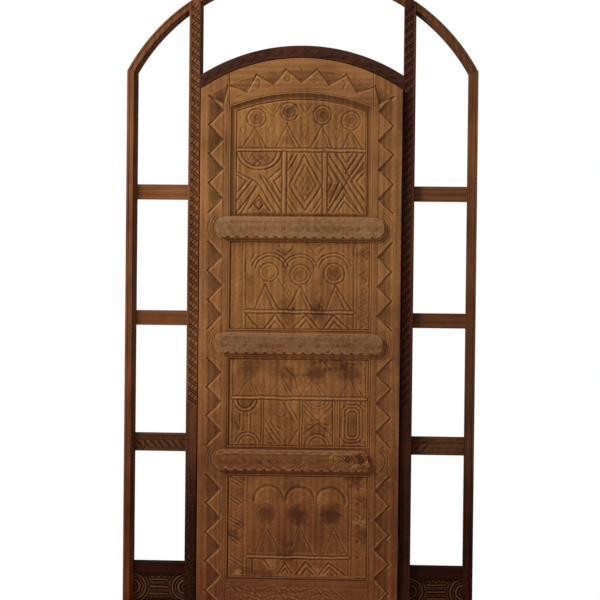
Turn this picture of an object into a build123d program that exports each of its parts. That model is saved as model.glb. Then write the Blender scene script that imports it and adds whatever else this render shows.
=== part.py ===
from build123d import *
import os
from collections import namedtuple
from math import cos, radians, sin, sqrt

# Carved wooden door with its frame: an arched leaf with four carved panels hangs
# between two open sidelights, under one large round arch.
# Millimetres. X runs to the right, the carved face looks along -Y, Z is up.
# The origin is in the middle of the sill's underside, below the jambs' front faces.

# Frame
opening_width = 852
jamb_width = 48
jamb_depth = 110
sidelight_width = 222
post_width = 38
side_depth = 70
nib_width = 28
rebate_depth = 25
bead_inset = 9
bead_width = 3
bead_depth = 3
sill_height = 30
sill_nosing = 5
arch_spring_level = 2344
arch_rise = 437
arch_width = 35
head_gap = 4
head_radius = 790
head_crown = 2451
head_tenon_length = 20
head_tenon_height = 26
head_tenon_thickness = 24
stop_width = 20
stop_depth = 28
stop_gap = 1
fixing_radius = 5
lower_fixing_level = 520
upper_fixing_level = 2120

# Sidelight rails and carved bottom panels
upper_rail_level = 1838
middle_rail_level = 1307
lower_rail_level = 781
side_rail_height = 62
lower_rail_height = 74
panel_rail_level = 249
panel_rail_height = 49
foot_rail_height = 80
side_tenon_length = 14
side_tenon_thickness = 15
side_tenon_shoulder = 10
side_panel_thickness = 20
side_panel_setback = 9
side_groove_depth = 8

# Leaf
side_gap = 5
foot_gap = 6
leaf_proud = 20
leaf_thickness = 50
leaf_radius = 746
leaf_crown = 2396
stile_width = 121
panel_opening_crown = 2255
panel_opening_radius = 790
first_panel_foot = 1733
second_panel_top = 1640
second_panel_foot = 1258
third_panel_top = 1150
third_panel_foot = 770
fourth_panel_top = 662
fourth_panel_foot = 218
panel_thickness = 22
panel_setback = 7
panel_groove_depth = 10
relief_height = 4
broad_moulding = 30
foot_moulding = 12
thin_moulding = 9
moulding_height = 6
moulding_step = 3
leaf_tenon_length = 60
leaf_tenon_thickness = 16
leaf_tenon_shoulder = 14

# Battens
batten_overlap = 52
batten_height = 88
batten_thickness = 18
batten_rise = 3
scallop_pitch = 40
scallop_width = 22
scallop_rise = 11
boss_pitch = 77
boss_radius = 12
boss_height = 2
batten_line_width = 4
batten_line_depth = 2
third_batten_loss = 49
break_jag = 12
bite_length = 30
batten_screw_inset = 60

# Carving
carving_depth = 3
zigzag_margin = 36
zigzag_width = 61
zigzag_pitch = 121.7
arch_zigzag_margin = 43
arch_zigzag_width = 58
arch_zigzag_step_deg = 10.4
jamb_strip_width = 14
jamb_band_margin = 4
jamb_carving_foot = 945
jamb_cut_pitch = 38
jamb_cut_width = 9
head_zigzag_margin = 9
head_zigzag_width = 22
head_zigzag_step_deg = 4
rail_cut_pitch = 30
rail_cut_width = 8
rail_cut_margin = 9
foot_carving_margin = 22
foot_band_width = 11

# Hinges and screws
hinge_height = 100
lower_hinge_level = 300
middle_hinge_level = 1130
upper_hinge_level = 1990
hinge_offset = 8
flap_thickness = 2.5
flap_inset = 2
knuckle_radius = 6.5
knuckle_gap = 0.4
notch_clearance = 1
pin_radius = 3
pin_head_radius = 5
pin_head_height = 3
running_clearance = 0.05
screw_radius = 2
screw_head_radius = 4
screw_head_height = 2.5
screw_length = 24
batten_screw_length = 60

# Bolt on the back of the leaf
bolt_length = 360
bolt_height = 40
bolt_thickness = 22
bolt_standoff = 32
bolt_end_inset = 27
bolt_travel = 55
bolt_clearance = 0.5
bolt_mortise_spare = 4
bolt_mortise_clearance = 1
guide_width = 40
guide_wall = 10
outer_guide_inset = 33
guide_spacing = 260
peg_radius = 9
peg_length = 50
peg_inset = 183

# Every cut runs past the surface that it opens
overrun = 5

# Shares of the piece that carries them, chosen by eye
pocket_share = 0.84
jamb_cut_rise_share = 0.75
third_share = 1 / 3
half_share = 1 / 2
screw_row_shares = (1 / 6, 5 / 6)
batten_line_share = 0.74
boss_level_share = 0.5
bite_shares = (0.58, 0.12)
break_shares = ((0.0, 0.6), (0.25, -0.4), (0.5, 0.9), (0.75, -0.8), (1.0, 0.3))
head_ring_share = 0.58
neck_share = 1.12
foot_band_shares = (0.05, 0.16, 0.33, 0.44, 0.62, 0.73)
foot_band_run_share = 0.2

# Figures and patterns of the four panels, as shares of the carved field:
# across from the left, up from the foot, sizes by the field's width
panel_1_bar_shares = (0.540, 0.573)
panel_1_head_shares = ((0.151, 0.834), (0.396, 0.890), (0.657, 0.864), (0.877, 0.814))
panel_1_head_radius_share = 0.071
panel_1_skirt_share = 0.088
panel_1_drop_shares = (0.053, 0.270, 0.522, 0.776)
panel_1_drop_level_share = 0.71
panel_1_drop_size_share = 0.022
panel_1_divider_shares = ((0.354, 0.396), (0.684, 0.710))
panel_1_bow_shares = (0.172, 0.158, 0.122)
panel_1_cross_shares = ((0.184, 0.320), (0.845, 0.293))
panel_1_diamond_shares = ((0.524, 0.525), (0.673, 0.256), (0.536, 0.015), (0.412, 0.256))
panel_1_diamond_step_shares = (1.0, 0.78, 0.52, 0.28)
panel_1_band_share = 0.026

panel_2_line_shares = ((0.077, 0.110), (0.883, 0.911))
panel_2_strip_shares = ((0.010, 0.067), (0.922, 0.985))
panel_2_strip_step_share = 0.125
panel_2_head_shares = ((0.275, 0.651), (0.507, 0.645), (0.744, 0.648))
panel_2_arch_shares = (0.136, 0.108)
panel_2_skirt_share = 0.088
panel_2_bar_shares = (0.181, 0.223)
panel_2_foot_shares = (0.20, 0.36, 0.53, 0.69, 0.82)
panel_2_foot_size_share = 0.075
panel_2_foot_rise_share = 0.165

panel_3_bar_shares = (0.525, 0.569)
panel_3_head_shares = ((0.150, 0.840), (0.385, 0.840), (0.620, 0.840), (0.850, 0.840))
panel_3_head_radius_share = 0.055
panel_3_skirt_share = 0.085
panel_3_divider_shares = ((0.232, 0.250), (0.500, 0.518), (0.744, 0.760), (0.778, 0.794))
panel_3_stave_shares = (0.045, 0.100, 0.155)
panel_3_stave_top_share = 0.34
panel_3_bow_shares = (0.104, 0.080, 0.054)
panel_3_slant_shares = (0.262, 0.330, 0.398)
panel_3_slant_run_share = 0.09
panel_3_cross_share = 0.631
panel_3_oval_shares = (0.897, 0.262, 0.070, 0.430)
panel_3_band_share = 0.024

panel_4_line_shares = ((0.108, 0.137), (0.869, 0.902))
panel_4_gouge_shares = (0.015, 0.095, 0.055)
panel_4_gouge_step_share = 0.11
panel_4_head_shares = ((0.266, 0.615), (0.502, 0.612), (0.742, 0.612))
panel_4_arch_shares = (0.110, 0.084)
panel_4_arch_level_share = 0.746
panel_4_arch_foot_share = 0.44
panel_4_skirt_share = 0.088
panel_4_bar_shares = (0.174, 0.216)
panel_4_foot_shares = (0.22, 0.38, 0.55, 0.71)
panel_4_foot_size_share = 0.078
panel_4_foot_rise_share = 0.155

side_panel_bow_shares = (0.27, 0.21, 0.16, 0.09)
side_panel_bar_level_shares = (0.20, 0.46, 0.72)
side_panel_bar_shares = (0.31, 0.69)
side_panel_bar_height_share = 0.08

# Places worked out from the sizes above
jamb_inner = opening_width / 2
jamb_outer = jamb_inner + jamb_width
post_inner = jamb_outer + sidelight_width
post_outer = post_inner + post_width
arch_radius = (post_outer ** 2 + arch_rise ** 2) / (2 * arch_rise)
arch_centre = arch_spring_level + arch_rise - arch_radius
arch_inner_radius = arch_radius - arch_width
outer_arc = (arch_radius, arch_centre)
inner_arc = (arch_inner_radius, arch_centre)

leaf_half = jamb_inner - side_gap
stile_inner = leaf_half - stile_width
batten_length = 2 * (stile_inner + batten_overlap)
batten_screw_spread = stile_inner - batten_screw_inset
leaf_front = -leaf_proud
leaf_back = leaf_front + leaf_thickness
leaf_bottom = sill_height + foot_gap
leaf_centre = leaf_crown - leaf_radius
leaf_arc = (leaf_radius, leaf_centre)
head_lower_arc = (leaf_radius + head_gap, leaf_centre)
head_upper_arc = (head_radius, head_crown - head_radius)
panel_arc = (panel_opening_radius, panel_opening_crown - panel_opening_radius)
panel_front = leaf_front + panel_setback

stop_front = leaf_back + stop_gap
panel_rail_bottom = panel_rail_level - panel_rail_height / 2
foot_rail_top = sill_height + foot_rail_height
side_panel_front = rebate_depth + side_panel_setback

hinge_x = leaf_half + side_gap / 2
hinge_y = -hinge_offset
flap_back = leaf_back - flap_inset
batten_front = leaf_front - batten_thickness
bolt_front = leaf_back + bolt_standoff
bolt_level = (second_panel_foot + third_panel_top) / 2
bolt_end = leaf_half - bolt_end_inset
outer_guide_place = leaf_half - outer_guide_inset
inner_guide_place = outer_guide_place - guide_spacing
peg_place = leaf_half - peg_inset
first_batten_level = (second_panel_top + first_panel_foot) / 2 + batten_rise
second_batten_level = (third_panel_top + second_panel_foot) / 2 + batten_rise
third_batten_level = (fourth_panel_top + third_panel_foot) / 2 + batten_rise

Field = namedtuple("Field", "left bottom width height")


# Outlines are drawn in the elevation, as (x, z)

def polygon(*points):
    """Flat face with straight sides."""
    return make_face(Polyline(*points, close=True))


def strip(left, right, bottom, top):
    """Upright rectangle."""
    return polygon((left, bottom), (right, bottom), (right, top), (left, top))


def arc_height(arc, x):
    """Height of an arc (radius, centre height) at x."""
    radius, centre = arc
    return centre + sqrt(radius ** 2 - x ** 2)


def arc_edge(arc, start, end):
    """Arc from one x to another."""
    middle = (start + end) / 2
    return ThreePointArc(*[(x, arc_height(arc, x)) for x in (start, middle, end)])


def between_arcs(lower, lower_ends, upper, upper_ends):
    """Face between two arcs, with straight ends."""
    bottom = arc_edge(lower, *lower_ends)
    top = arc_edge(upper, *reversed(upper_ends))
    right = Line(bottom @ 1, top @ 0)
    left = Line(top @ 1, bottom @ 0)
    return make_face([bottom, right, top, left])


def arched_strip(left, right, bottom, arc):
    """Upright face with a flat foot and an arched top."""
    top = arc_edge(arc, right, left)
    return make_face([top, Polyline(top @ 1, (left, bottom), (right, bottom), top @ 0)])


def band(start, end, width):
    """Straight band between two points."""
    run = end[0] - start[0]
    rise = end[1] - start[1]
    half = width / 2 / sqrt(run ** 2 + rise ** 2)
    across = (-rise * half, run * half)
    corners = []
    for point, side in ((start, 1), (end, 1), (end, -1), (start, -1)):
        corners.append((point[0] + side * across[0], point[1] + side * across[1]))
    return polygon(*corners)


def ring(centre, outer, inner):
    """Flat ring."""
    return Pos(*centre) * (Circle(outer) - Circle(inner))


def shrunk(points, share):
    """Polygon drawn in towards its own middle."""
    middle_x = sum(x for x, z in points) / len(points)
    middle_z = sum(z for x, z in points) / len(points)
    drawn = [(middle_x + (x - middle_x) * share, middle_z + (z - middle_z) * share) for x, z in points]
    return polygon(*drawn)


def polar(centre, radius, angle):
    """Point on a circle about (0, centre), with the angle in degrees from straight up."""
    return (radius * sin(radians(angle)), centre + radius * cos(radians(angle)))


def at(field, across, up):
    """Point of a carved field, from its shares."""
    return (field.left + across * field.width, field.bottom + up * field.height)


def field_strip(field, across, up):
    """Rectangle of a carved field, from two pairs of shares."""
    left, bottom = at(field, across[0], up[0])
    right, top = at(field, across[1], up[1])
    return strip(left, right, bottom, top)


# Solids

def stand(outline, front, depth):
    """Stand an outline upright as a board, from its front face to its back."""
    return extrude(Plane.XZ.offset(-front) * outline, amount=depth, dir=(0, 1, 0))


def carve(board, outlines, front, depth):
    """Sink outlines into a front face."""
    return board - stand(Sketch() + outlines, front - overrun, depth + overrun)


def relief(board, outlines, front, height):
    """Raise outlines from a front face."""
    return board + stand(Sketch() + outlines, front - height, height)


def block(x_range, y_range, z_range):
    """Box between three pairs of limits."""
    ranges = (x_range, y_range, z_range)
    sizes = [max(pair) - min(pair) for pair in ranges]
    corner = [min(pair) for pair in ranges]
    return Pos(*corner) * Box(*sizes, align=(Align.MIN, Align.MIN, Align.MIN))


def left_of(part):
    """The same piece for the other side."""
    return mirror(part, about=Plane.YZ)


# Frame

def outer_post():
    """Right outer post: rebated, with a groove line and two holes for the wall fixings."""
    def edge(x, arc):
        return (x, arc_height(arc, x))

    top_edge = (edge(post_outer, outer_arc), edge(post_inner, inner_arc))
    section = polygon((post_inner, 0), (post_outer, 0), *top_edge)
    post = stand(section, 0, side_depth)
    nib_inner = post_outer - nib_width
    top = arc_height(outer_arc, post_inner)
    post = carve(post, [strip(post_inner - overrun, nib_inner, -overrun, top)], 0, rebate_depth)
    bead_outer = post_outer - bead_inset
    post = carve(post, [strip(bead_outer - bead_width, bead_outer, -overrun, top)], 0, bead_depth)
    for level in (lower_fixing_level, upper_fixing_level):
        hole = Cylinder(fixing_radius, post_width + overrun * 2)
        place = Pos((post_inner + post_outer) / 2, (rebate_depth + side_depth) / 2, level)
        post -= place * Rot(0, 90, 0) * hole
    for tenon in side_tenons():
        post -= tenon
    return post - side_panel_blank()


def rebated_arch(lower_ends, upper_ends):
    """Length of the big arch between two joints, with its rebate and groove line."""
    arch = stand(between_arcs(inner_arc, lower_ends, outer_arc, upper_ends), 0, side_depth)
    rebate = Circle(arch_radius - nib_width) - Circle(arch_inner_radius - overrun)
    bead_outer = arch_radius - bead_inset
    line = Circle(bead_outer) - Circle(bead_outer - bead_width)
    arch = carve(arch, [Pos(0, arch_centre) * rebate], 0, rebate_depth)
    return carve(arch, [Pos(0, arch_centre) * line], 0, bead_depth)


def jamb():
    """Right jamb, up to the outer line of the big arch, with slanting cuts on its upper part."""
    post = stand(arched_strip(jamb_inner, jamb_outer, sill_height, outer_arc), 0, jamb_depth)
    left = jamb_inner + jamb_band_margin
    right = jamb_outer - jamb_strip_width
    rise = (right - left) * jamb_cut_rise_share
    cuts = []
    level = jamb_carving_foot
    while level + rise + jamb_cut_width < arc_height(outer_arc, jamb_outer):
        slant = [(left, level), (right, level + rise)]
        cuts.append(polygon(*slant, *[(x, z + jamb_cut_width) for x, z in reversed(slant)]))
        level += jamb_cut_pitch
    post = carve(post, cuts, 0, carving_depth)
    for tenon in side_tenons():
        post -= tenon
    post -= head_tenon()
    return post - side_panel_blank()


def head_tenon():
    """Right tenon of the door head, in the jamb."""
    middle = (arc_height(head_lower_arc, jamb_inner) + arc_height(head_upper_arc, jamb_inner)) / 2
    depth_middle = jamb_depth / 2
    return block((jamb_inner, jamb_inner + head_tenon_length),
                 (depth_middle - head_tenon_thickness / 2, depth_middle + head_tenon_thickness / 2),
                 (middle - head_tenon_height / 2, middle + head_tenon_height / 2))


def door_head():
    """Arched head between the jambs, with a row of sunk triangles."""
    ends = (-jamb_inner, jamb_inner)
    head = stand(between_arcs(head_lower_arc, ends, head_upper_arc, ends), 0, jamb_depth)
    inner = leaf_radius + head_gap + head_zigzag_margin
    outer = inner + head_zigzag_width
    pockets = []
    angle = -pattern_reach(jamb_inner, outer)
    while angle < pattern_reach(jamb_inner, outer):
        corners = (polar(leaf_centre, inner, angle),
                   polar(leaf_centre, inner, angle + head_zigzag_step_deg),
                   polar(leaf_centre, outer, angle + head_zigzag_step_deg / 2))
        pockets.append(shrunk(corners, pocket_share))
        angle += head_zigzag_step_deg
    head = carve(head, pockets, 0, carving_depth)
    return head + head_tenon() + left_of(head_tenon())


def pattern_reach(half_width, radius):
    """Whole steps of the head's pattern, in degrees, that fit on each side of its middle."""
    steps = 0
    while radius * sin(radians((steps + 1) * head_zigzag_step_deg)) < half_width:
        steps += 1
    return steps * head_zigzag_step_deg


def sill():
    """Board under the jambs and sidelights, between the outer posts, with its nosing before the leaf."""
    return block((-post_inner, post_inner), (leaf_front - sill_nosing, jamb_depth), (0, sill_height))


def side_tenon(level, height):
    """Tenons at both ends of a right sidelight rail, as one pair."""
    middle = (rebate_depth + side_depth) / 2
    depth = (middle - side_tenon_thickness / 2, middle + side_tenon_thickness / 2)
    reach = height / 2 - side_tenon_shoulder
    rise = (level - reach, level + reach)
    inner = block((jamb_outer - side_tenon_length, jamb_outer), depth, rise)
    outer = block((post_inner, post_inner + side_tenon_length), depth, rise)
    return [inner, outer]


def side_rails():
    """Level and height of each sidelight rail, by its name."""
    return {"upper_rail": (upper_rail_level, side_rail_height),
            "middle_rail": (middle_rail_level, side_rail_height),
            "lower_rail": (lower_rail_level, lower_rail_height),
            "panel_rail": (panel_rail_level, panel_rail_height),
            "foot_rail": (sill_height + foot_rail_height / 2, foot_rail_height)}


def side_tenons():
    """All tenons of the right sidelight."""
    tenons = []
    for level, height in side_rails().values():
        tenons += side_tenon(level, height)
    return tenons


def side_rail(name):
    """Right sidelight rail with its tenons; the lowest of the three open ones is carved."""
    level, height = side_rails()[name]
    bottom = level - height / 2
    top = level + height / 2
    rail = stand(strip(jamb_outer, post_inner, bottom, top), rebate_depth, side_depth - rebate_depth)
    if name == "lower_rail":
        cuts = []
        low = bottom + rail_cut_margin
        high = top - rail_cut_margin
        place = jamb_outer + rail_cut_pitch / 2
        while place + high - low < post_inner - rail_cut_width:
            cuts.append(band((place, low), (place + high - low, high), rail_cut_width))
            place += rail_cut_pitch
        rail = carve(rail, cuts, rebate_depth, carving_depth)
    for tenon in side_tenon(level, height):
        rail += tenon
    return rail - side_panel_blank()


def side_panel_blank():
    """Right bottom panel before carving, with the edges that sit in the grooves."""
    grown = strip(jamb_outer - side_groove_depth, post_inner + side_groove_depth,
                  foot_rail_top - side_groove_depth, panel_rail_bottom + side_groove_depth)
    return stand(grown, side_panel_front, side_panel_thickness)


def side_panel():
    """Right bottom panel: half rings on both sides with bars between them."""
    field = Field(jamb_outer, foot_rail_top, sidelight_width, panel_rail_bottom - foot_rail_top)
    whole = field_strip(field, (0, 1), (0, 1))
    outer, inner, eye_outer, eye_inner = [share * field.width for share in side_panel_bow_shares]
    raised = []
    for side in (0, 1):
        centre = at(field, side, half_share)
        raised.append(ring(centre, outer, inner) & whole)
        raised.append(ring(centre, eye_outer, eye_inner) & whole)
    for level in side_panel_bar_level_shares:
        raised.append(field_strip(field, side_panel_bar_shares, (level, level + side_panel_bar_height_share)))
    return relief(side_panel_blank(), raised, side_panel_front, relief_height)


def side_stop():
    """Right stop behind the leaf."""
    outline = arched_strip(jamb_inner - stop_width, jamb_inner, sill_height, head_lower_arc)
    return stand(outline, stop_front, stop_depth)


def head_stop():
    """Arched stop over the leaf, between the side stops."""
    radius, centre = head_lower_arc
    ends = (stop_width - jamb_inner, jamb_inner - stop_width)
    outline = between_arcs((radius - stop_width, centre), ends, head_lower_arc, ends)
    return stand(outline, stop_front, stop_depth)


# Leaf

def panel_limits():
    """Foot and top of each panel opening; the first one has an arched top."""
    return {"panel_1": (first_panel_foot, None),
            "panel_2": (second_panel_foot, second_panel_top),
            "panel_3": (third_panel_foot, third_panel_top),
            "panel_4": (fourth_panel_foot, fourth_panel_top)}


def panel_outline(name, grow, grow_foot=None):
    """Outline of a panel opening, grown on every side or drawn in by a negative amount."""
    foot, top = panel_limits()[name]
    half = stile_inner + grow
    foot -= grow if grow_foot is None else grow_foot
    if top is None:
        radius, centre = panel_arc
        return arched_strip(-half, half, foot, (radius + grow, centre))
    return strip(-half, half, foot, top + grow)


def panel_blank(name):
    """Panel before carving, with the edges that sit in the grooves of the stiles and rails."""
    return stand(panel_outline(name, panel_groove_depth), panel_front, panel_thickness)


def panel_field(name):
    """Part of a panel that the moulding leaves open."""
    foot, top = panel_limits()[name]
    if top is None:
        bottom = foot + foot_moulding
        half = stile_inner - broad_moulding
        return Field(-half, bottom, 2 * half, panel_opening_crown - broad_moulding - bottom)
    half = stile_inner - thin_moulding
    return Field(-half, foot + thin_moulding, 2 * half, top - foot - 2 * thin_moulding)


def field_face(name):
    """Face of a panel that its moulding leaves open."""
    if panel_limits()[name][1] is None:
        return panel_outline(name, -broad_moulding, -foot_moulding)
    return panel_outline(name, -thin_moulding)


def moulding(name):
    """Moulding around a panel; the broad one of the arched panel is stepped."""
    ring_face = panel_outline(name, 0) - field_face(name)
    if panel_limits()[name][1] is None:
        step_width = -broad_moulding / 2
        outer = panel_outline(name, 0) - panel_outline(name, step_width, -foot_moulding / 2)
        low = stand(ring_face, panel_front - moulding_step, moulding_step)
        return low + stand(outer, panel_front - moulding_height, moulding_height)
    return stand(ring_face, panel_front - moulding_height, moulding_height)


def figure(field, head, radius_share, skirt_share, foot):
    """Ring for a head over a triangle for a skirt."""
    centre = at(field, *head)
    radius = radius_share * field.width
    apex = (centre[0], centre[1] - radius * neck_share)
    half = skirt_share * field.width
    level = at(field, 0, foot)[1]
    skirt = polygon(apex, (apex[0] + half, level), (apex[0] - half, level))
    return [ring(centre, radius, radius * head_ring_share), skirt]


def cross(field, centre, half_width, half_height, width):
    """Two bands that cross."""
    x, z = at(field, *centre)
    corner = (half_width * field.width, half_height * field.height)
    return [band((x - corner[0], z - corner[1]), (x + corner[0], z + corner[1]), width),
            band((x - corner[0], z + corner[1]), (x + corner[0], z - corner[1]), width)]


def half_ring(field, centre, radii, top_side):
    """Upper or lower half of a ring, with its radii as shares of the field's width."""
    x, z = at(field, *centre)
    outer, inner = [share * field.width for share in radii]
    low, high = (z, z + outer) if top_side else (z - outer, z)
    return ring((x, z), outer, inner) & strip(x - outer, x + outer, low, high)


def foot_triangles(field, places, size, rise):
    """Row of triangles along the foot of a field."""
    row = []
    for place in places:
        left = at(field, place - size, 0)
        right = at(field, place + size, 0)
        row.append(polygon(left, right, at(field, place, rise)))
    return row


def panel_1_relief(field):
    """Four figures over a bar, and three cells of crossed bands and a diamond below it."""
    bar_low, bar_high = panel_1_bar_shares
    width = panel_1_band_share * field.width
    raised = [field_strip(field, (0, 1), panel_1_bar_shares)]
    for head in panel_1_head_shares:
        raised += figure(field, head, panel_1_head_radius_share, panel_1_skirt_share, bar_high)
    for place in panel_1_drop_shares:
        x, z = at(field, place, panel_1_drop_level_share)
        size = panel_1_drop_size_share * field.width
        raised.append(polygon((x - size, z), (x, z - 2 * size), (x + size, z), (x, z + 2 * size)))
    for divider in panel_1_divider_shares:
        raised.append(field_strip(field, divider, (0, bar_low)))
    bow, outer, inner = panel_1_bow_shares
    raised.append(half_ring(field, (bow, bar_low), (outer, inner), False))
    (first_end, _), (_, last_start) = panel_1_divider_shares
    cells = ((0, first_end), (last_start, 1))
    for centre, (left, right) in zip(panel_1_cross_shares, cells):
        cell = field_strip(field, (left, right), (0, bar_low))
        for piece in cross(field, centre, right - left, bar_low, width):
            raised.append(piece & cell)
    corners = [at(field, *corner) for corner in panel_1_diamond_shares]
    outer_step, second_step, third_step, core = panel_1_diamond_step_shares
    raised.append(shrunk(corners, outer_step) - shrunk(corners, second_step))
    raised.append(shrunk(corners, third_step) - shrunk(corners, core))
    return raised


def panel_2_relief(field):
    """Three figures under arches, with zigzag strips at the sides and triangles at the foot."""
    bar_low, bar_high = panel_2_bar_shares
    (left_line, left_edge), (right_edge, right_line) = panel_2_line_shares
    raised = [field_strip(field, (left_edge, right_edge), panel_2_bar_shares)]
    for line in panel_2_line_shares:
        raised.append(field_strip(field, line, (0, 1)))
    for left, right in panel_2_strip_shares:
        level = 0
        while level < 1:
            tip = level + panel_2_strip_step_share / 2
            end = min(level + panel_2_strip_step_share, 1)
            corners = (at(field, left, level), at(field, right, tip), at(field, left, end))
            raised.append(shrunk(corners, pocket_share))
            level += panel_2_strip_step_share
    for head in panel_2_head_shares:
        raised += figure(field, head, panel_1_head_radius_share, panel_2_skirt_share, bar_high)
        raised.append(half_ring(field, head, panel_2_arch_shares, True))
    rise = panel_2_foot_rise_share
    return raised + foot_triangles(field, panel_2_foot_shares, panel_2_foot_size_share, rise)


def panel_3_relief(field):
    """Four worn figures over a bar, and four cells of bows, slants, a cross and an oval below it."""
    bar_low, bar_high = panel_3_bar_shares
    width = panel_3_band_share * field.width
    raised = [field_strip(field, (0, 1), panel_3_bar_shares)]
    for head in panel_3_head_shares:
        raised += figure(field, head, panel_3_head_radius_share, panel_3_skirt_share, bar_high)
    for divider in panel_3_divider_shares:
        raised.append(field_strip(field, divider, (0, bar_low)))
    (first_end, second_start), (second_end, third_start), (third_end, _), _ = panel_3_divider_shares
    outer, inner, _ = panel_3_bow_shares
    raised.append(half_ring(field, (first_end / 2, bar_low), (outer, inner), False))
    for stave in panel_3_stave_shares:
        left = stave - panel_3_band_share / 2
        raised.append(field_strip(field, (left, left + panel_3_band_share), (0, panel_3_stave_top_share)))
    cell = field_strip(field, (second_start, second_end), (0, bar_low))
    for place in panel_3_slant_shares:
        foot = at(field, place, 0)
        raised.append(band(foot, at(field, place + panel_3_slant_run_share, bar_low), width) & cell)
    for level, top_side in ((0, True), (bar_low, False)):
        raised.append(half_ring(field, (panel_3_cross_share, level), panel_3_bow_shares[1:], top_side))
    cell = field_strip(field, (third_start, third_end), (0, bar_low))
    centre = (panel_3_cross_share, bar_low / 2)
    for piece in cross(field, centre, third_end - third_start, bar_low / 2, width):
        raised.append(piece & cell)
    place, level, half_width, height = panel_3_oval_shares
    corners = []
    for across, up in ((-1, -1), (0, -2), (1, -1), (1, 1), (0, 2), (-1, 1)):
        corners.append(at(field, place + across * half_width, level + up * height / 4))
    raised.append(polygon(*corners) - shrunk(corners, head_ring_share))
    return raised


def panel_4_relief(field):
    """Three figures under tall arches, slanting gouges at the left and triangles at the foot."""
    bar_low, bar_high = panel_4_bar_shares
    (_, left_edge), (right_edge, _) = panel_4_line_shares
    raised = [field_strip(field, (left_edge, right_edge), panel_4_bar_shares)]
    for line in panel_4_line_shares:
        raised.append(field_strip(field, line, (0, 1)))
    left, right, width = panel_4_gouge_shares
    level = panel_4_gouge_step_share / 2
    while level + width + panel_4_gouge_step_share < 1:
        start = at(field, left, level + panel_4_gouge_step_share / 2)
        raised.append(band(start, at(field, right, level), width * field.width / 2))
        level += panel_4_gouge_step_share
    outer, inner = panel_4_arch_shares
    for head in panel_4_head_shares:
        raised += figure(field, head, panel_1_head_radius_share, panel_4_skirt_share, bar_high)
        raised.append(half_ring(field, (head[0], panel_4_arch_level_share), panel_4_arch_shares, True))
        for near, far in ((-outer, -inner), (inner, outer)):
            legs = (panel_4_arch_foot_share, panel_4_arch_level_share)
            raised.append(field_strip(field, (head[0] + near, head[0] + far), legs))
    rise = panel_4_foot_rise_share
    return raised + foot_triangles(field, panel_4_foot_shares, panel_4_foot_size_share, rise)


panel_reliefs = {"panel_1": panel_1_relief, "panel_2": panel_2_relief,
                 "panel_3": panel_3_relief, "panel_4": panel_4_relief}


def carved_panel(name):
    """Panel with its figures and patterns in relief."""
    raised = Sketch() + panel_reliefs[name](panel_field(name))
    return relief(panel_blank(name), [raised & field_face(name)], panel_front, relief_height)


def tenon_pair(bottom, top):
    """Tenons of a leaf rail, in both stiles."""
    middle = (leaf_front + leaf_back) / 2
    depth = (middle - leaf_tenon_thickness / 2, middle + leaf_tenon_thickness / 2)
    rise = (bottom + leaf_tenon_shoulder, top - leaf_tenon_shoulder)
    right = block((stile_inner, stile_inner + leaf_tenon_length), depth, rise)
    return [right, left_of(right)]


def rail_limits():
    """Foot and top of each leaf rail at the stiles."""
    top_rail_top = arc_height(leaf_arc, stile_inner + leaf_tenon_length)
    return {"top_rail": (arc_height(panel_arc, stile_inner), top_rail_top),
            "mid_rail_1": (second_panel_top, first_panel_foot),
            "mid_rail_2": (third_panel_top, second_panel_foot),
            "mid_rail_3": (fourth_panel_top, third_panel_foot),
            "bottom_rail": (leaf_bottom, fourth_panel_foot)}


def arch_pockets():
    """Sunk triangles that follow the arched top of the leaf, the end ones on the stiles."""
    outer = leaf_radius - arch_zigzag_margin
    inner = outer - arch_zigzag_width
    step = arch_zigzag_step_deg
    pockets = []
    for place in (-2, -1, 0, 1, 2):
        corners = (polar(leaf_centre, outer, (place - half_share) * step),
                   polar(leaf_centre, outer, (place + half_share) * step),
                   polar(leaf_centre, inner, place * step))
        pockets.append(shrunk(corners, pocket_share))
    return pockets


def stile_pockets():
    """Sunk triangles down the right stile, with the one that turns the corner at its top."""
    far = leaf_half - zigzag_margin
    near = far - zigzag_width
    outer = leaf_radius - arch_zigzag_margin
    inner = outer - arch_zigzag_width
    top = arc_height((outer, leaf_centre), far)
    turn = polar(leaf_centre, outer, (2 + half_share) * arch_zigzag_step_deg)
    pockets = [shrunk((turn, (far, top), (near, arc_height((inner, leaf_centre), near))), pocket_share)]
    level = top
    while level - zigzag_pitch > leaf_bottom:
        corners = ((far, level), (far, level - zigzag_pitch), (near, level - zigzag_pitch / 2))
        pockets.append(shrunk(corners, pocket_share))
        level -= zigzag_pitch
    return pockets


def stile():
    """Right stile before the hinges are let in."""
    board = stand(arched_strip(stile_inner, leaf_half, leaf_bottom, leaf_arc), leaf_front, leaf_thickness)
    board = carve(board, stile_pockets() + arch_pockets(), leaf_front, carving_depth)
    for name in panel_limits():
        board -= panel_blank(name)
    for limits in rail_limits().values():
        board -= tenon_pair(*limits)[0]
    return board


def foot_carving():
    """Slanting cuts across the bottom rail."""
    low = leaf_bottom + foot_carving_margin
    high = fourth_panel_foot - foot_carving_margin
    run = foot_band_run_share * 2 * stile_inner
    cuts = []
    for share in foot_band_shares:
        start = -stile_inner + share * 2 * stile_inner
        cuts.append(band((start, high), (start + run, low), foot_band_width))
    return cuts


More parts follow.
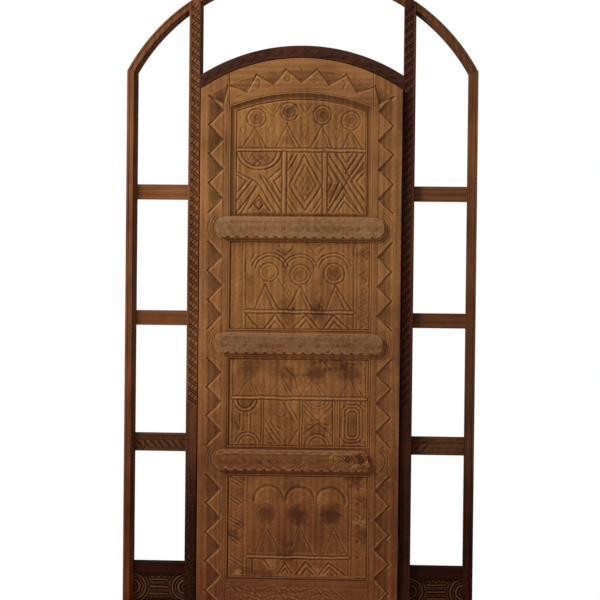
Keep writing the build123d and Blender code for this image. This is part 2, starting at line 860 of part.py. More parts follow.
def rail(name):
    """Leaf rail with its tenons, grooved for the panels above and below."""
    foot, top = rail_limits()[name]
    if name == "top_rail":
        ends = (-stile_inner, stile_inner)
        board = stand(between_arcs(panel_arc, ends, leaf_arc, ends), leaf_front, leaf_thickness)
        board = carve(board, arch_pockets(), leaf_front, carving_depth)
    else:
        board = stand(strip(-stile_inner, stile_inner, foot, top), leaf_front, leaf_thickness)
    if name == "bottom_rail":
        board = carve(board, foot_carving(), leaf_front, carving_depth)
    for panel_name in panel_limits():
        board -= panel_blank(panel_name)
    for tenon in tenon_pair(foot, top):
        board += tenon
    if name in batten_rails:
        for screw in batten_screws(batten_rails[name]):
            board -= screw
    return board


# Battens

batten_rails = {"mid_rail_1": first_batten_level,
                "mid_rail_2": second_batten_level,
                "mid_rail_3": third_batten_level}


def plain_batten(level):
    """Batten with round ends, a notched lower edge, a groove line and a row of round bosses."""
    radius = batten_height / 2
    straight = batten_length / 2 - radius
    outline = strip(-straight, straight, level - radius, level + radius)
    for side in (-1, 1):
        outline += Pos(side * straight, level) * Circle(radius)
    foot = level - radius
    count = int(2 * straight / scallop_pitch)
    for place in range(count + 1):
        middle = (place - count / 2) * scallop_pitch
        half = scallop_width / 2
        outline -= polygon((middle - half, foot), (middle, foot + scallop_rise), (middle + half, foot))
    batten = stand(outline, batten_front, batten_thickness)
    line = foot + batten_line_share * batten_height
    batten = carve(batten, [strip(-straight, straight, line, line + batten_line_width)],
                   batten_front, batten_line_depth)
    count = int(2 * straight / boss_pitch)
    bosses = []
    for place in range(count + 1):
        centre = ((place - count / 2) * boss_pitch, foot + boss_level_share * batten_height)
        bosses.append(Pos(*centre) * Circle(boss_radius))
    return relief(batten, bosses, batten_front, boss_height)


def bite(level):
    """Piece lost from the left end of the second batten."""
    high, low = [level - batten_height / 2 + share * batten_height for share in bite_shares]
    edge = -batten_length / 2
    middle = (high + low) / 2
    return polygon((edge - overrun, high), (edge + bite_length, middle), (edge + bite_length / 2, low),
                   (edge - overrun, low))


def broken_end(level):
    """Right end of the third batten, lost along a ragged line."""
    bottom = level - batten_height / 2 - overrun
    height = batten_height + 2 * overrun
    ragged = []
    for up, out in break_shares:
        ragged.append((batten_length / 2 - third_batten_loss + out * break_jag, bottom + up * height))
    far = batten_length / 2 + overrun
    return polygon(*ragged, (far, bottom + height), (far, bottom))


def batten(name):
    """Batten as it is found, with its screw holes."""
    levels = {"batten_1": first_batten_level, "batten_2": second_batten_level, "batten_3": third_batten_level}
    level = levels[name]
    piece = plain_batten(level)
    lost_depth = batten_thickness + boss_height + overrun
    if name == "batten_2":
        piece -= stand(bite(level), leaf_front - lost_depth, lost_depth + overrun)
    if name == "batten_3":
        piece -= stand(broken_end(level), leaf_front - lost_depth, lost_depth + overrun)
    for screw in batten_screws(level):
        piece -= screw
    return piece


# Screws and hinges

def screw(length):
    """Countersunk screw that points up, with the top of its head at zero."""
    bottom = (Align.CENTER, Align.CENTER, Align.MIN)
    head = Cone(screw_head_radius, screw_radius, screw_head_height, align=bottom)
    return head + Cylinder(screw_radius, length, align=bottom)


def batten_screws(level):
    """Row of screws through a middle rail into its batten, from the back."""
    row = []
    for place in (-batten_screw_spread, batten_screw_spread):
        row.append(Pos(place, leaf_back, level) * Rot(90, 0, 0) * screw(batten_screw_length))
    return row


hinge_levels = {"lower": lower_hinge_level, "middle": middle_hinge_level, "upper": upper_hinge_level}


def hinge_screws(level, into_frame):
    """Screws of one flap, into the jamb or into the stile."""
    row = []
    face = jamb_inner if into_frame else leaf_half
    turn = 90 if into_frame else -90
    for share in screw_row_shares:
        place = Pos(face, flap_back / 2, level + share * hinge_height)
        row.append(place * Rot(0, turn, 0) * screw(screw_length))
    return row


def barrel(radius, bottom, top):
    """Upright cylinder on the hinge axis."""
    upright = Cylinder(radius, top - bottom, align=(Align.CENTER, Align.CENTER, Align.MIN))
    return Pos(hinge_x, hinge_y, bottom) * upright


def knuckle_limits(level):
    """Foot and top of the lower, middle and upper knuckle."""
    low = level + hinge_height * third_share
    high = level + hinge_height * 2 * third_share
    gap = knuckle_gap / 2
    return (level, low - gap), (low + gap, high - gap), (high + gap, level + hinge_height)


def flap_plate(level, on_frame):
    """Plate of one flap, let into the jamb or the stile."""
    face = jamb_inner if on_frame else leaf_half
    back = face + flap_thickness if on_frame else face - flap_thickness
    return block((face, back), (hinge_y, flap_back), (level, level + hinge_height))


def flap(level, on_frame):
    """Hinge flap with its knuckles, bored for the pin and drilled for its screws."""
    lower, middle, upper = knuckle_limits(level)
    own, others = ([lower, upper], [middle]) if on_frame else ([middle], [lower, upper])
    plate = flap_plate(level, on_frame)
    for low, high in others:
        plate -= barrel(knuckle_radius + knuckle_gap, low - knuckle_gap, high + knuckle_gap)
    for low, high in own:
        plate += barrel(knuckle_radius, low, high)
    plate -= barrel(pin_radius + running_clearance, level - overrun, level + hinge_height + overrun)
    for piece in hinge_screws(level, on_frame):
        plate -= piece
    return plate


def hinge_pin(level):
    """Pin with a head that rests on the upper knuckle."""
    top = level + hinge_height
    return barrel(pin_radius, level, top) + barrel(pin_head_radius, top, top + pin_head_height)


def hinge_notch(level):
    """Room for the knuckles in the edge of the leaf."""
    spare = notch_clearance + pin_head_height
    return barrel(knuckle_radius + notch_clearance, level - spare, level + hinge_height + spare)


def hung_stile():
    """Hanging stile with the hinges let in."""
    board = stile()
    for level in hinge_levels.values():
        board -= hinge_notch(level)
        board -= flap_plate(level, False)
        for piece in hinge_screws(level, False):
            board -= piece
    return board


def hung_jamb():
    """Right jamb with the hinges let in."""
    post = jamb()
    for level in hinge_levels.values():
        post -= flap_plate(level, True)
        for piece in hinge_screws(level, True):
            post -= piece
    return post


# Bolt

def bolt_space(grow, left, right):
    """Room of the bolt bar between two places across the door, grown by a clearance."""
    return block((left, right),
                 (bolt_front - grow, bolt_front + bolt_thickness + grow),
                 (bolt_level - bolt_height / 2 - grow, bolt_level + bolt_height / 2 + grow))


def bolt_peg():
    """Round peg that the bolt is drawn by."""
    upright = Cylinder(peg_radius, peg_length, align=(Align.CENTER, Align.CENTER, Align.MIN))
    return Pos(-peg_place, bolt_front, bolt_level) * Rot(-90, 0, 0) * upright


def bolt_bar():
    """Bolt bar, bored for its peg."""
    return bolt_space(0, -bolt_end, -bolt_end + bolt_length) - bolt_peg()


def bolt_guide(place):
    """Block on the back of the leaf that the bolt slides in."""
    half = bolt_height / 2 + bolt_clearance + guide_wall
    back = bolt_front + bolt_thickness + bolt_clearance + guide_wall
    body = block((-place, -place + guide_width), (leaf_back, back), (bolt_level - half, bolt_level + half))
    return body - bolt_space(bolt_clearance, -place - overrun, -place + guide_width + overrun)


def shut_jamb():
    """Left jamb with the mortise that takes the bolt."""
    reach = bolt_end + bolt_travel + bolt_mortise_spare
    room = bolt_space(bolt_mortise_clearance, -reach, -jamb_inner + overrun)
    return left_of(jamb()) - room


def group(solids):
    """Separate solids that share one node."""
    return Compound(children=[solid.solid() for solid in solids])


def build():
    """All pieces by name."""
    side_ends = ((jamb_outer, post_inner), (jamb_outer, post_outer))
    centre_ends = ((-jamb_inner, jamb_inner), (-jamb_inner, jamb_inner))
    right_arch = rebated_arch(*side_ends)
    pieces = {"outer_post_right": outer_post(),
              "outer_post_left": left_of(outer_post()),
              "jamb_right": hung_jamb(),
              "jamb_left": shut_jamb(),
              "arch_right": right_arch,
              "arch_left": left_of(right_arch),
              "arch_centre": rebated_arch(*centre_ends),
              "door_head": door_head(),
              "sill": sill(),
              "stop_right": side_stop(),
              "stop_left": left_of(side_stop()),
              "stop_head": head_stop(),
              "side_panel_right": side_panel(),
              "side_panel_left": left_of(side_panel())}
    for name in side_rails():
        pieces[name + "_right"] = side_rail(name)
        pieces[name + "_left"] = left_of(side_rail(name))
    pieces["stile_right"] = hung_stile()
    pieces["stile_left"] = left_of(stile())
    for name in rail_limits():
        pieces[name] = rail(name)
    for name in panel_limits():
        pieces[name] = carved_panel(name)
        pieces[name + "_moulding"] = moulding(name)
    for name in ("batten_1", "batten_2", "batten_3"):
        pieces[name] = batten(name)
    frame_screws = []
    leaf_screws = []
    rail_screws = []
    for name, level in hinge_levels.items():
        pieces["hinge_frame_flap_" + name] = flap(level, True)
        pieces["hinge_leaf_flap_" + name] = flap(level, False)
        pieces["hinge_pin_" + name] = hinge_pin(level)
        frame_screws += hinge_screws(level, True)
        leaf_screws += hinge_screws(level, False)
    for level in batten_rails.values():
        rail_screws += batten_screws(level)
    pieces["hinge_screws_frame"] = group(frame_screws)
    pieces["hinge_screws_leaf"] = group(leaf_screws)
    pieces["batten_screws"] = group(rail_screws)
    pieces["bolt_bar"] = bolt_bar()
    pieces["bolt_peg"] = bolt_peg()
    pieces["bolt_guide_outer"] = bolt_guide(outer_guide_place)
    pieces["bolt_guide_inner"] = bolt_guide(inner_guide_place)
    return pieces


os.makedirs("parts", exist_ok=True)
for node, piece in build().items():
    export_step(piece, os.path.join("parts", node + ".step"))
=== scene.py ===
import logging
import math
from dataclasses import dataclass, field
from enum import Enum
from typing import Callable, Iterable, Optional, Sequence, TypeVar

import bmesh
import bpy
import numpy as np
from mathutils import Matrix, Vector


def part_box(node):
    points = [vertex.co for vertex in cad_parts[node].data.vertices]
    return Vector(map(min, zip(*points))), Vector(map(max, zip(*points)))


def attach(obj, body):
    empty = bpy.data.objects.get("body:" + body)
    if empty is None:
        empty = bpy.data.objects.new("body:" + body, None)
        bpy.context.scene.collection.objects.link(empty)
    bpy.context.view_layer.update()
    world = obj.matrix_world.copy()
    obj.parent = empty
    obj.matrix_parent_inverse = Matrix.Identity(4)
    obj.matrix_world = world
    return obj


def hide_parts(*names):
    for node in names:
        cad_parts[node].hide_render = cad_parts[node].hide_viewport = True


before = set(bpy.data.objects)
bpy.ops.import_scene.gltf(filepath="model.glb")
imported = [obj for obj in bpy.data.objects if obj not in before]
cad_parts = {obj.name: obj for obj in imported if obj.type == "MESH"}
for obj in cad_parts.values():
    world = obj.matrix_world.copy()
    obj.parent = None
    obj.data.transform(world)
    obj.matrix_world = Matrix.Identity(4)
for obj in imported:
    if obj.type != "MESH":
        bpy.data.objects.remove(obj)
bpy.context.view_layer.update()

# Looks of the carved wooden door: carved boards, weathered battens, arched frame and ironwork.
# Metres, in the frame of the solids: X to the right, the carved face looks along -Y, Z up.

log = logging.getLogger("carved_door")

Array = np.ndarray
Point = tuple[float, float]
Colour = tuple[float, float, float]
Edge = Callable[[Array], Array]
Bend = Callable[[Array, Array], Array]
Profile = Sequence[tuple[float, float, float]]
Socket = bpy.types.NodeSocket
Choice = TypeVar("Choice")

HINGES = ("lower", "middle", "upper")
# Mesh attributes of the finish: cavity darkens with dirt and painted shade, the other lightens with wear and
# painted highlights
CAVITY, WEAR_AND_HIGHLIGHT = "cavity", "wear"
X, Y, Z = range(3)


class Body(Enum):
    """Moving groups of the door."""

    FRAME = "frame"
    LEAF = "leaf"
    BOLT = "bolt"


class Slot(Enum):
    """Material slots of the record."""

    FRAME_WOOD = "frame_wood"
    HEAD_WOOD = "head_wood"
    LEAF_WOOD = "leaf_wood"
    PANEL_WOOD = "panel_wood"
    BATTEN_WOOD = "batten_wood"
    IRON = "iron"


class Grain(Enum):
    """Direction of the fibres, as the stretch of the grain pattern along X, Y and Z."""

    UPRIGHT = (1.0, 1.0, 0.055)
    LEVEL = (0.055, 1.0, 1.0)


class Side(Enum):
    """Side of the door, as the sign of X."""

    LEFT = -1
    RIGHT = 1

    @property
    def label(self) -> str:
        """Ending of the names of this side's nodes."""
        return self.name.lower()


# Node trees

class NodeBuilder:
    """Adds the nodes of one tree and joins them."""

    def __init__(self, tree: bpy.types.NodeTree) -> None:
        """Work on a tree."""
        self.tree = tree

    def connect(self, target: Socket, value: object) -> None:
        """Give an input a constant or another node's output.

        Args:
            target: Input socket.
            value: Number, vector or output socket.
        """
        if isinstance(value, Socket):
            self.tree.links.new(value, target)
        else:
            target.default_value = value

    def feed(self, node: bpy.types.Node, **inputs: object) -> None:
        """Feed a node's inputs, with spaces in their names as underscores."""
        for name, value in inputs.items():
            self.connect(node.inputs[name.replace("_", " ")], value)

    def add(self, kind: str, **inputs: object) -> bpy.types.Node:
        """Add a node and feed its inputs.

        Args:
            kind: Type of the node.
            inputs: Value or socket for each input, named as for feed.

        Returns:
            The node.
        """
        node = self.tree.nodes.new(kind)
        self.feed(node, **inputs)
        return node

    def math(self, operation: str, first: object, second: object = 0.0) -> Socket:
        """One sum of two values.

        Args:
            operation: Name of the operation.
            first: Number or socket.
            second: Number or socket.

        Returns:
            The result.
        """
        node = self.add("ShaderNodeMath")
        node.operation = operation
        self.connect(node.inputs[0], first)
        self.connect(node.inputs[1], second)
        return node.outputs[0]


@dataclass(frozen=True)
class Noise:
    """Noise pattern: features to the metre, octaves, and strength of the finer octaves."""

    pace: float
    detail: float = 3.0
    rough: float = 0.55


STREAKS = Noise(70.0, 5.0, 0.66)
FIBRES = Noise(330.0, 2.0, 0.6)
TONE = Noise(3.4, 4.0)
BLOTS = Noise(6.5, 4.0, 0.62)
FADING = Noise(24.0, 5.0, 0.65)
FLECKS = Noise(150.0, 3.0, 0.7)
FOOT_EDGE = Noise(3.5, 4.0, 0.6)
RUST = Noise(60.0, 4.0, 0.6)
HAMMERING = Noise(240.0)
FLOOR_TONE = Noise(1.5, 2.0)


class Graph(NodeBuilder):
    """Node graph of one material, on Object coordinates."""

    # Sockets of a mix node that carry colours
    COLOUR_INPUTS = (6, 7)
    COLOUR_OUTPUT = 2

    def __init__(self, name: str) -> None:
        """Start a material with a bare shader.

        Args:
            name: Name of the material.
        """
        self.material = bpy.data.materials.new(name)
        self.material.use_nodes = True
        super().__init__(self.material.node_tree)
        self.tree.nodes.clear()
        self.shader = self.add("ShaderNodeBsdfPrincipled")
        self.add("ShaderNodeOutputMaterial", Surface=self.shader.outputs["BSDF"])
        self.place = self.add("ShaderNodeTexCoord").outputs["Object"]

    def noise(self, pattern: Noise, along: Optional[Socket] = None) -> Socket:
        """Noise between 0 and 1.

        Args:
            pattern: The pattern.
            along: Coordinates, or None for the object's own.

        Returns:
            The noise value.
        """
        node = self.add("ShaderNodeTexNoise", Vector=self.place if along is None else along,
                        Scale=pattern.pace, Detail=pattern.detail, Roughness=pattern.rough)
        return node.outputs["Fac"]

    def attribute(self, name: str) -> Socket:
        """Value of a mesh attribute.

        Args:
            name: Name of the attribute.

        Returns:
            The value.
        """
        node = self.add("ShaderNodeAttribute")
        node.attribute_name = name
        return node.outputs["Fac"]

    def spread(self, value: Socket, low: float, high: float, to_low: float = 0.0,
               to_high: float = 1.0) -> Socket:
        """Map a range of values, from low to high, onto another that is held at its ends."""
        return self.add("ShaderNodeMapRange", Value=value, From_Min=low, From_Max=high,
                        To_Min=to_low, To_Max=to_high).outputs["Result"]

    def weighted(self, *parts: tuple[Socket, float]) -> Socket:
        """Sum of patterns.

        Args:
            parts: Each pattern with its share.

        Returns:
            The sum.
        """
        total = 0.0
        for pattern, share in parts:
            total = self.math("ADD", total, self.math("MULTIPLY", pattern, share))
        return total

    def mix(self, share: object, first: object, second: object, blend: str = "MIX") -> Socket:
        """Blend two colours.

        Args:
            share: Number or socket.
            first: Colour or socket at share 0.
            second: Colour or socket at share 1.
            blend: Way of blending.

        Returns:
            The blended colour.
        """
        node = self.add("ShaderNodeMix", Factor=share)
        node.data_type = "RGBA"
        node.blend_type = blend
        for place, value in zip(self.COLOUR_INPUTS, (first, second)):
            self.connect(node.inputs[place], value if isinstance(value, Socket) else (*value, 1.0))
        return node.outputs[self.COLOUR_OUTPUT]

    def bump(self, height: Socket, distance: float) -> None:
        """Raise the surface by a pattern between 0 and 1, to a height in metres."""
        node = self.add("ShaderNodeBump", Distance=distance, Height=height)
        self.feed(self.shader, Normal=node.outputs["Normal"])


# Finishes

@dataclass(frozen=True)
class WoodFinish:
    """Stained wood with grain, cuts darkened with dirt and painted shade, ridges lightened with wear and
    painted highlights, and a foot that grows darker towards the bottom.
    """

    name: str
    slot: Slot
    grain: Grain
    pale: Colour
    deep: Colour
    cut: Colour
    foot: Colour
    foot_low: float = 0.1
    foot_high: float = 1.7
    roughness: float = 0.62
    sheen: float = 0.05
    stain: Colour = (0.085, 0.026, 0.008)
    stain_share: float = 0.5
    # Colour of worn ridges, also used for painted highlights; the pale colour when None
    worn: Optional[Colour] = None
    weathering: float = 0.0
    weathered: Colour = (0.2, 0.15, 0.1)
    flecks: float = 0.0
    flecked: Colour = (0.42, 0.33, 0.24)
    grain_height: float = 0.0011

    def build(self) -> bpy.types.Material:
        """Make the material.

        Returns:
            The wood material.
        """
        graph = Graph(self.name)
        along = graph.add("ShaderNodeMapping", Vector=graph.place, Scale=self.grain.value).outputs["Vector"]
        streaks, fibres = graph.noise(STREAKS, along), graph.noise(FIBRES, along)
        tone, blots = graph.noise(TONE), graph.noise(BLOTS)
        shade = graph.weighted((streaks, 0.36), (self.rings(graph, along), 0.10), (tone, 0.54))
        colour = graph.mix(graph.spread(shade, 0.375, 0.605), self.deep, self.pale)
        colour = graph.mix(graph.spread(fibres, 0.56, 0.74, 0.0, 0.22), colour, self.deep)
        colour = graph.mix(graph.spread(blots, 0.50, 0.72, 0.0, self.stain_share), colour, self.stain)
        if self.weathering:
            colour = self.weather(graph, colour)
        rough = graph.spread(graph.math("ADD", tone, fibres), 0.6, 1.4,
                             self.roughness - 0.09, self.roughness + 0.14)
        graph.feed(graph.shader, Base_Color=self.soil(graph, colour), Roughness=rough,
                   Specular_IOR_Level=self.sheen)
        graph.bump(graph.weighted((fibres, 0.6), (streaks, 0.9)), self.grain_height)
        return graph.material

    def rings(self, graph: Graph, along: Socket) -> Socket:
        """Year rings, drawn out along the grain.

        Args:
            graph: Graph of the material.
            along: Coordinates stretched along the grain.

        Returns:
            Value between 0 and 1.
        """
        wave = graph.add("ShaderNodeTexWave", Vector=along, Scale=11.0, Distortion=7.0, Detail=2.0,
                         Detail_Scale=1.4)
        wave.wave_type = "BANDS"
        wave.bands_direction = "X" if self.grain is Grain.UPRIGHT else "Z"
        return wave.outputs["Fac"]

    def weather(self, graph: Graph, colour: Socket) -> Socket:
        """Fade the stain in patches, with pale flecks.

        Args:
            graph: Graph of the material.
            colour: Colour so far.

        Returns:
            The faded colour.
        """
        patches = graph.spread(graph.noise(FADING), 0.42, 0.62, 0.0, self.weathering)
        colour = graph.mix(patches, colour, self.weathered)
        spots = graph.spread(graph.noise(FLECKS), 0.60, 0.70, 0.0, self.flecks)
        return graph.mix(spots, colour, self.flecked)

    def soil(self, graph: Graph, colour: Socket) -> Socket:
        """Darken the cuts with dirt and painted shade, darken the foot, and lighten the ridges with wear and
        painted highlights.

        Args:
            graph: Graph of the material.
            colour: Colour so far.

        Returns:
            The colour with its dirt, painted shade, wear and painted highlights.
        """
        height = graph.add("ShaderNodeSeparateXYZ", Vector=graph.place).outputs["Z"]
        ragged = graph.math("ADD", height, graph.spread(graph.noise(FOOT_EDGE), 0.0, 1.0, -0.45, 0.45))
        foot = graph.spread(ragged, self.foot_low, self.foot_high, 1.0, 0.0)
        colour = graph.mix(foot, colour, graph.mix(1.0, colour, self.foot, "MULTIPLY"))
        # Wear, with painted highlights on ridges, edges and lit strips
        wear = graph.spread(graph.attribute(WEAR_AND_HIGHLIGHT), 0.15, 1.0, 0.0, 0.42)
        colour = graph.mix(wear, colour, self.worn or self.pale)
        # Dirt, with painted shade in hollows and cuts
        dirt = graph.spread(graph.attribute(CAVITY), 0.05, 0.80, 0.0, 0.80)
        return graph.mix(dirt, colour, self.cut)


@dataclass(frozen=True)
class LeafFinish(WoodFinish):
    """Oiled brown wood of the leaf."""

    cut: Colour = (0.032, 0.0098, 0.0030)
    foot: Colour = (0.57, 0.39, 0.33)
    sheen: float = 0.09
    worn: Optional[Colour] = (0.350, 0.162, 0.055)


@dataclass(frozen=True)
class BattenFinish(LeafFinish):
    """Faded wood of the battens."""

    foot: Colour = (0.56, 0.38, 0.29)
    roughness: float = 0.68
    sheen: float = 0.05
    stain_share: float = 0.35
    weathering: float = 0.75


@dataclass(frozen=True)
class FrameFinish(WoodFinish):
    """Dark red-brown wood of the frame."""

    slot: Slot = Slot.FRAME_WOOD
    grain: Grain = Grain.UPRIGHT
    pale: Colour = (0.175, 0.067, 0.0255)
    deep: Colour = (0.080, 0.026, 0.0095)
    cut: Colour = (0.007, 0.0021, 0.0012)
    foot: Colour = (0.13, 0.068, 0.058)


@dataclass(frozen=True)
class IronFinish:
    """Black forged iron with a little rust."""

    name: str
    slot: Slot = Slot.IRON
    black: Colour = (0.0075, 0.0052, 0.0040)
    rust: Colour = (0.030, 0.0110, 0.0058)
    metal: float = 0.15
    sheen: float = 0.12
    dents: float = 0.0004

    def build(self) -> bpy.types.Material:
        """Make the material.

        Returns:
            The iron material.
        """
        graph = Graph(self.name)
        patches = graph.noise(RUST)
        colour = graph.mix(graph.spread(patches, 0.5, 0.7, 0.0, 0.8), self.black, self.rust)
        graph.feed(graph.shader, Base_Color=colour, Roughness=graph.spread(patches, 0.3, 0.7, 0.42, 0.78),
                   Metallic=self.metal, Specular_IOR_Level=self.sheen)
        graph.bump(graph.noise(HAMMERING), self.dents)
        return graph.material


Finish = WoodFinish | IronFinish

STILE_FINISH = LeafFinish("stile_wood", Slot.LEAF_WOOD, Grain.UPRIGHT, (0.255, 0.108, 0.0325),
                          (0.138, 0.054, 0.0152))
RAIL_FINISH = LeafFinish("rail_wood", Slot.LEAF_WOOD, Grain.LEVEL, (0.255, 0.108, 0.0335),
                         (0.142, 0.056, 0.0165))
# Rails under the two upper battens: redder, and lightened as painted light where the battens' shadow falls
RED_LIT_RAIL_FINISH = LeafFinish("rail_red_wood", Slot.LEAF_WOOD, Grain.LEVEL, (0.315, 0.117, 0.0340),
                             (0.176, 0.058, 0.0160))
LOW_RAIL_FINISH = LeafFinish("rail_low_wood", Slot.LEAF_WOOD, Grain.LEVEL, (0.230, 0.070, 0.0200),
                             (0.128, 0.036, 0.0098))
PANEL_FINISH = LeafFinish("panel_carved_wood", Slot.PANEL_WOOD, Grain.UPRIGHT, (0.268, 0.113, 0.0325),
                          (0.145, 0.057, 0.0152), stain_share=0.6)
MOULDING_FINISH = LeafFinish("moulding_wood", Slot.PANEL_WOOD, Grain.UPRIGHT, (0.228, 0.092, 0.0270),
                             (0.118, 0.044, 0.0125))
BATTEN_FINISH = BattenFinish("batten_weathered_wood", Slot.BATTEN_WOOD, Grain.LEVEL, (0.212, 0.097, 0.0360),
                             (0.126, 0.054, 0.0188), weathered=(0.212, 0.115, 0.054),
                             worn=(0.270, 0.158, 0.080), flecks=0.30)
LOW_BATTEN_FINISH = BattenFinish("batten_low_wood", Slot.BATTEN_WOOD, Grain.LEVEL, (0.190, 0.073, 0.0210),
                                 (0.114, 0.040, 0.0112), weathered=(0.190, 0.086, 0.031),
                                 worn=(0.330, 0.190, 0.096), flecks=0.22)
POST_FINISH = FrameFinish("frame_post_wood", pale=(0.215, 0.082, 0.031), deep=(0.100, 0.033, 0.0118),
                          foot=(0.46, 0.25, 0.15), foot_high=1.5)
# The right outer post: a darker copy of the post finish, painted shade
SHADE_POST_FINISH = FrameFinish("frame_far_post_wood", pale=(0.180, 0.068, 0.026),
                                deep=(0.084, 0.028, 0.0102), foot=(0.15, 0.075, 0.062), foot_low=0.2,
                                foot_high=2.2)
ARCH_FINISH = FrameFinish("frame_arch_wood")
# The right length of the big arch: a darker copy of the arch finish, painted shade
SHADE_ARCH_FINISH = FrameFinish("frame_far_arch_wood", pale=(0.125, 0.047, 0.0185),
                                deep=(0.058, 0.019, 0.0070))
JAMB_FINISH = FrameFinish("frame_shutting_jamb_wood", pale=(0.178, 0.067, 0.0234),
                          deep=(0.066, 0.0218, 0.0077), foot=(0.12, 0.052, 0.042), foot_low=0.5,
                          foot_high=1.25)
FRAME_RAIL_FINISH = FrameFinish("frame_level_wood", grain=Grain.LEVEL, pale=(0.185, 0.070, 0.0245),
                                deep=(0.086, 0.0295, 0.0100), foot_low=0.5, foot_high=1.45)
# Rails and bottom panel right of the leaf: a darker copy of the level finish, painted shade
SHADE_RAIL_FINISH = FrameFinish("frame_far_level_wood", grain=Grain.LEVEL, pale=(0.148, 0.055, 0.020),
                                deep=(0.069, 0.0230, 0.0080), foot_low=0.5, foot_high=1.45)
# The hanging jamb right of the leaf, in the leaf's shadow, and both stops: near black, painted shade
SHADED_FINISH = FrameFinish("frame_hanging_jamb_wood", pale=(0.070, 0.0200, 0.0088),
                            deep=(0.030, 0.0082, 0.0042), foot=(0.42, 0.40, 0.45), foot_high=1.6)
HEAD_FINISH = FrameFinish("head_dark_wood", Slot.HEAD_WOOD, Grain.LEVEL, (0.058, 0.0195, 0.0100),
                          (0.022, 0.0080, 0.0047))
IRON_FINISH = IronFinish("black_iron")


class Paintbox:
    """Makes each finish once."""

    def __init__(self) -> None:
        """Start with no materials."""
        self.made: dict[str, bpy.types.Material] = {}

    def get(self, finish: Finish) -> bpy.types.Material:
        """Material of a finish.

        Args:
            finish: The finish.

        Returns:
            Its material, made at the first call.
        """
        if finish.name not in self.made:
            self.made[finish.name] = finish.build()
        return self.made[finish.name]


PAINTS = Paintbox()


# Meshes

def make_mesh(name: str, points: Array, quads: Array, faces: Sequence[Sequence[int]] = (),
              smooth: bool = True, values: Optional[dict[str, Array]] = None) -> bpy.types.Mesh:
    """Build a mesh from quads and other flat faces.

    Args:
        name: Name of the mesh.
        points: Corner points.
        quads: Faces of four corners.
        faces: Flat faces of any number of corners.
        smooth: Whether the quads are shaded smooth.
        values: Value of each named attribute at each point.

    Returns:
        The mesh.
    """
    mesh = bpy.data.meshes.new(name)
    mesh.vertices.add(len(points))
    mesh.vertices.foreach_set("co", points.astype(np.float32).ravel())
    counts = np.concatenate([np.full(len(quads), 4), [len(face) for face in faces]]).astype(np.int32)
    corners = np.concatenate([quads.ravel(), *faces]).astype(np.int32)
    mesh.loops.add(len(corners))
    mesh.loops.foreach_set("vertex_index", corners)
    mesh.polygons.add(len(counts))
    mesh.polygons.foreach_set("loop_start", np.concatenate([[0], np.cumsum(counts)[:-1]]).astype(np.int32))
    mesh.polygons.foreach_set("use_smooth", np.arange(len(counts)) < len(quads) * smooth)
    mesh.update(calc_edges=True)
    mesh.validate()
    for label, value in (values or {}).items():
        layer = mesh.attributes.new(label, "FLOAT", "POINT")
        layer.data.foreach_set("value", value.astype(np.float32).ravel())
    return mesh


def add_object(name: str, mesh: bpy.types.Mesh) -> bpy.types.Object:
    """Put a mesh into the scene.

    Args:
        name: Name of the object.
        mesh: Its mesh.

    Returns:
        The object, at the origin.
    """
    piece = bpy.data.objects.new(name, mesh)
    bpy.context.scene.collection.objects.link(piece)
    return piece


def dress(piece: bpy.types.Object, finish: Finish, body: Body, *nodes: str) -> None:
    """Give a piece its finish, its body and the solids that it stands for.

    Args:
        piece: The piece.
        finish: Its finish.
        body: Body that it moves with.
        nodes: Solids that it replaces.
    """
    piece.data.materials.clear()
    piece.data.materials.append(PAINTS.get(finish))
    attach(piece, body.value)
    if nodes:
        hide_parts(*nodes)
    piece.data.calc_loop_triangles()
    log.info("%s: %d triangles on %s", piece.name, len(piece.data.loop_triangles), body.value)


def settle(piece: bpy.types.Object) -> None:
    """Turn a piece's modifiers into its own mesh.

    Args:
        piece: Piece with modifiers.
    """
    bpy.context.view_layer.update()
    graph = bpy.context.evaluated_depsgraph_get()
    old = piece.data
    piece.data = bpy.data.meshes.new_from_object(piece.evaluated_get(graph))
    piece.modifiers.clear()
    piece.data.name = piece.name
    bpy.data.meshes.remove(old)


def cut_away(piece: bpy.types.Object, cutter: bpy.types.Object) -> None:
    """Take a cutter's space out of a piece and remove the cutter.

    Args:
        piece: Piece to cut.
        cutter: Closed object.
    """
    modifier = piece.modifiers.new("housing", "BOOLEAN")
    modifier.operation = "DIFFERENCE"
    modifier.solver = "EXACT"
    modifier.object = cutter
    settle(piece)
    bpy.data.objects.remove(cutter)


def soften(values: Array, rounds: int) -> Array:
    """Spread values over their neighbours on a grid.

    Args:
        values: Grid of values.
        rounds: How often the neighbours are shared.

    Returns:
        The softened grid.
    """
    for _ in range(rounds):
        wide = np.pad(values, 1, mode="edge")
        values = (wide[:-2, 1:-1] + wide[2:, 1:-1] + wide[1:-1, :-2] + wide[1:-1, 2:] + values) / 5
    return values


def spaced(length: float, cell: float, ease: float) -> Array:
    """Places along an edge, close together at both rounded ends.

    Args:
        length: Length of the edge.
        cell: Usual distance between places.
        ease: Radius of the rounded ends.

    Returns:
        Places from 0 to the length.
    """
    start = ease * np.array([0.0, 0.12, 0.4, 0.8])
    margin = 1.2 * ease
    count = max(2, int(round((length - 2 * margin) / cell)))
    return np.concatenate([start, np.linspace(margin, length - margin, count + 1), length - start[::-1]])


def smooth_step(values: Array) -> Array:
    """Ease values between 0 and 1 at both ends."""
    values = np.clip(values, 0.0, 1.0)
    return values * values * (3.0 - 2.0 * values)


def flat(height: float) -> Edge:
    """Level edge of a board."""
    return lambda x: np.full_like(x, height)


def between(start: Point, end: Point, share: float) -> Point:
    """Point at a share of the way from one point to another."""
    return (start[0] + (end[0] - start[0]) * share, start[1] + (end[1] - start[1]) * share)


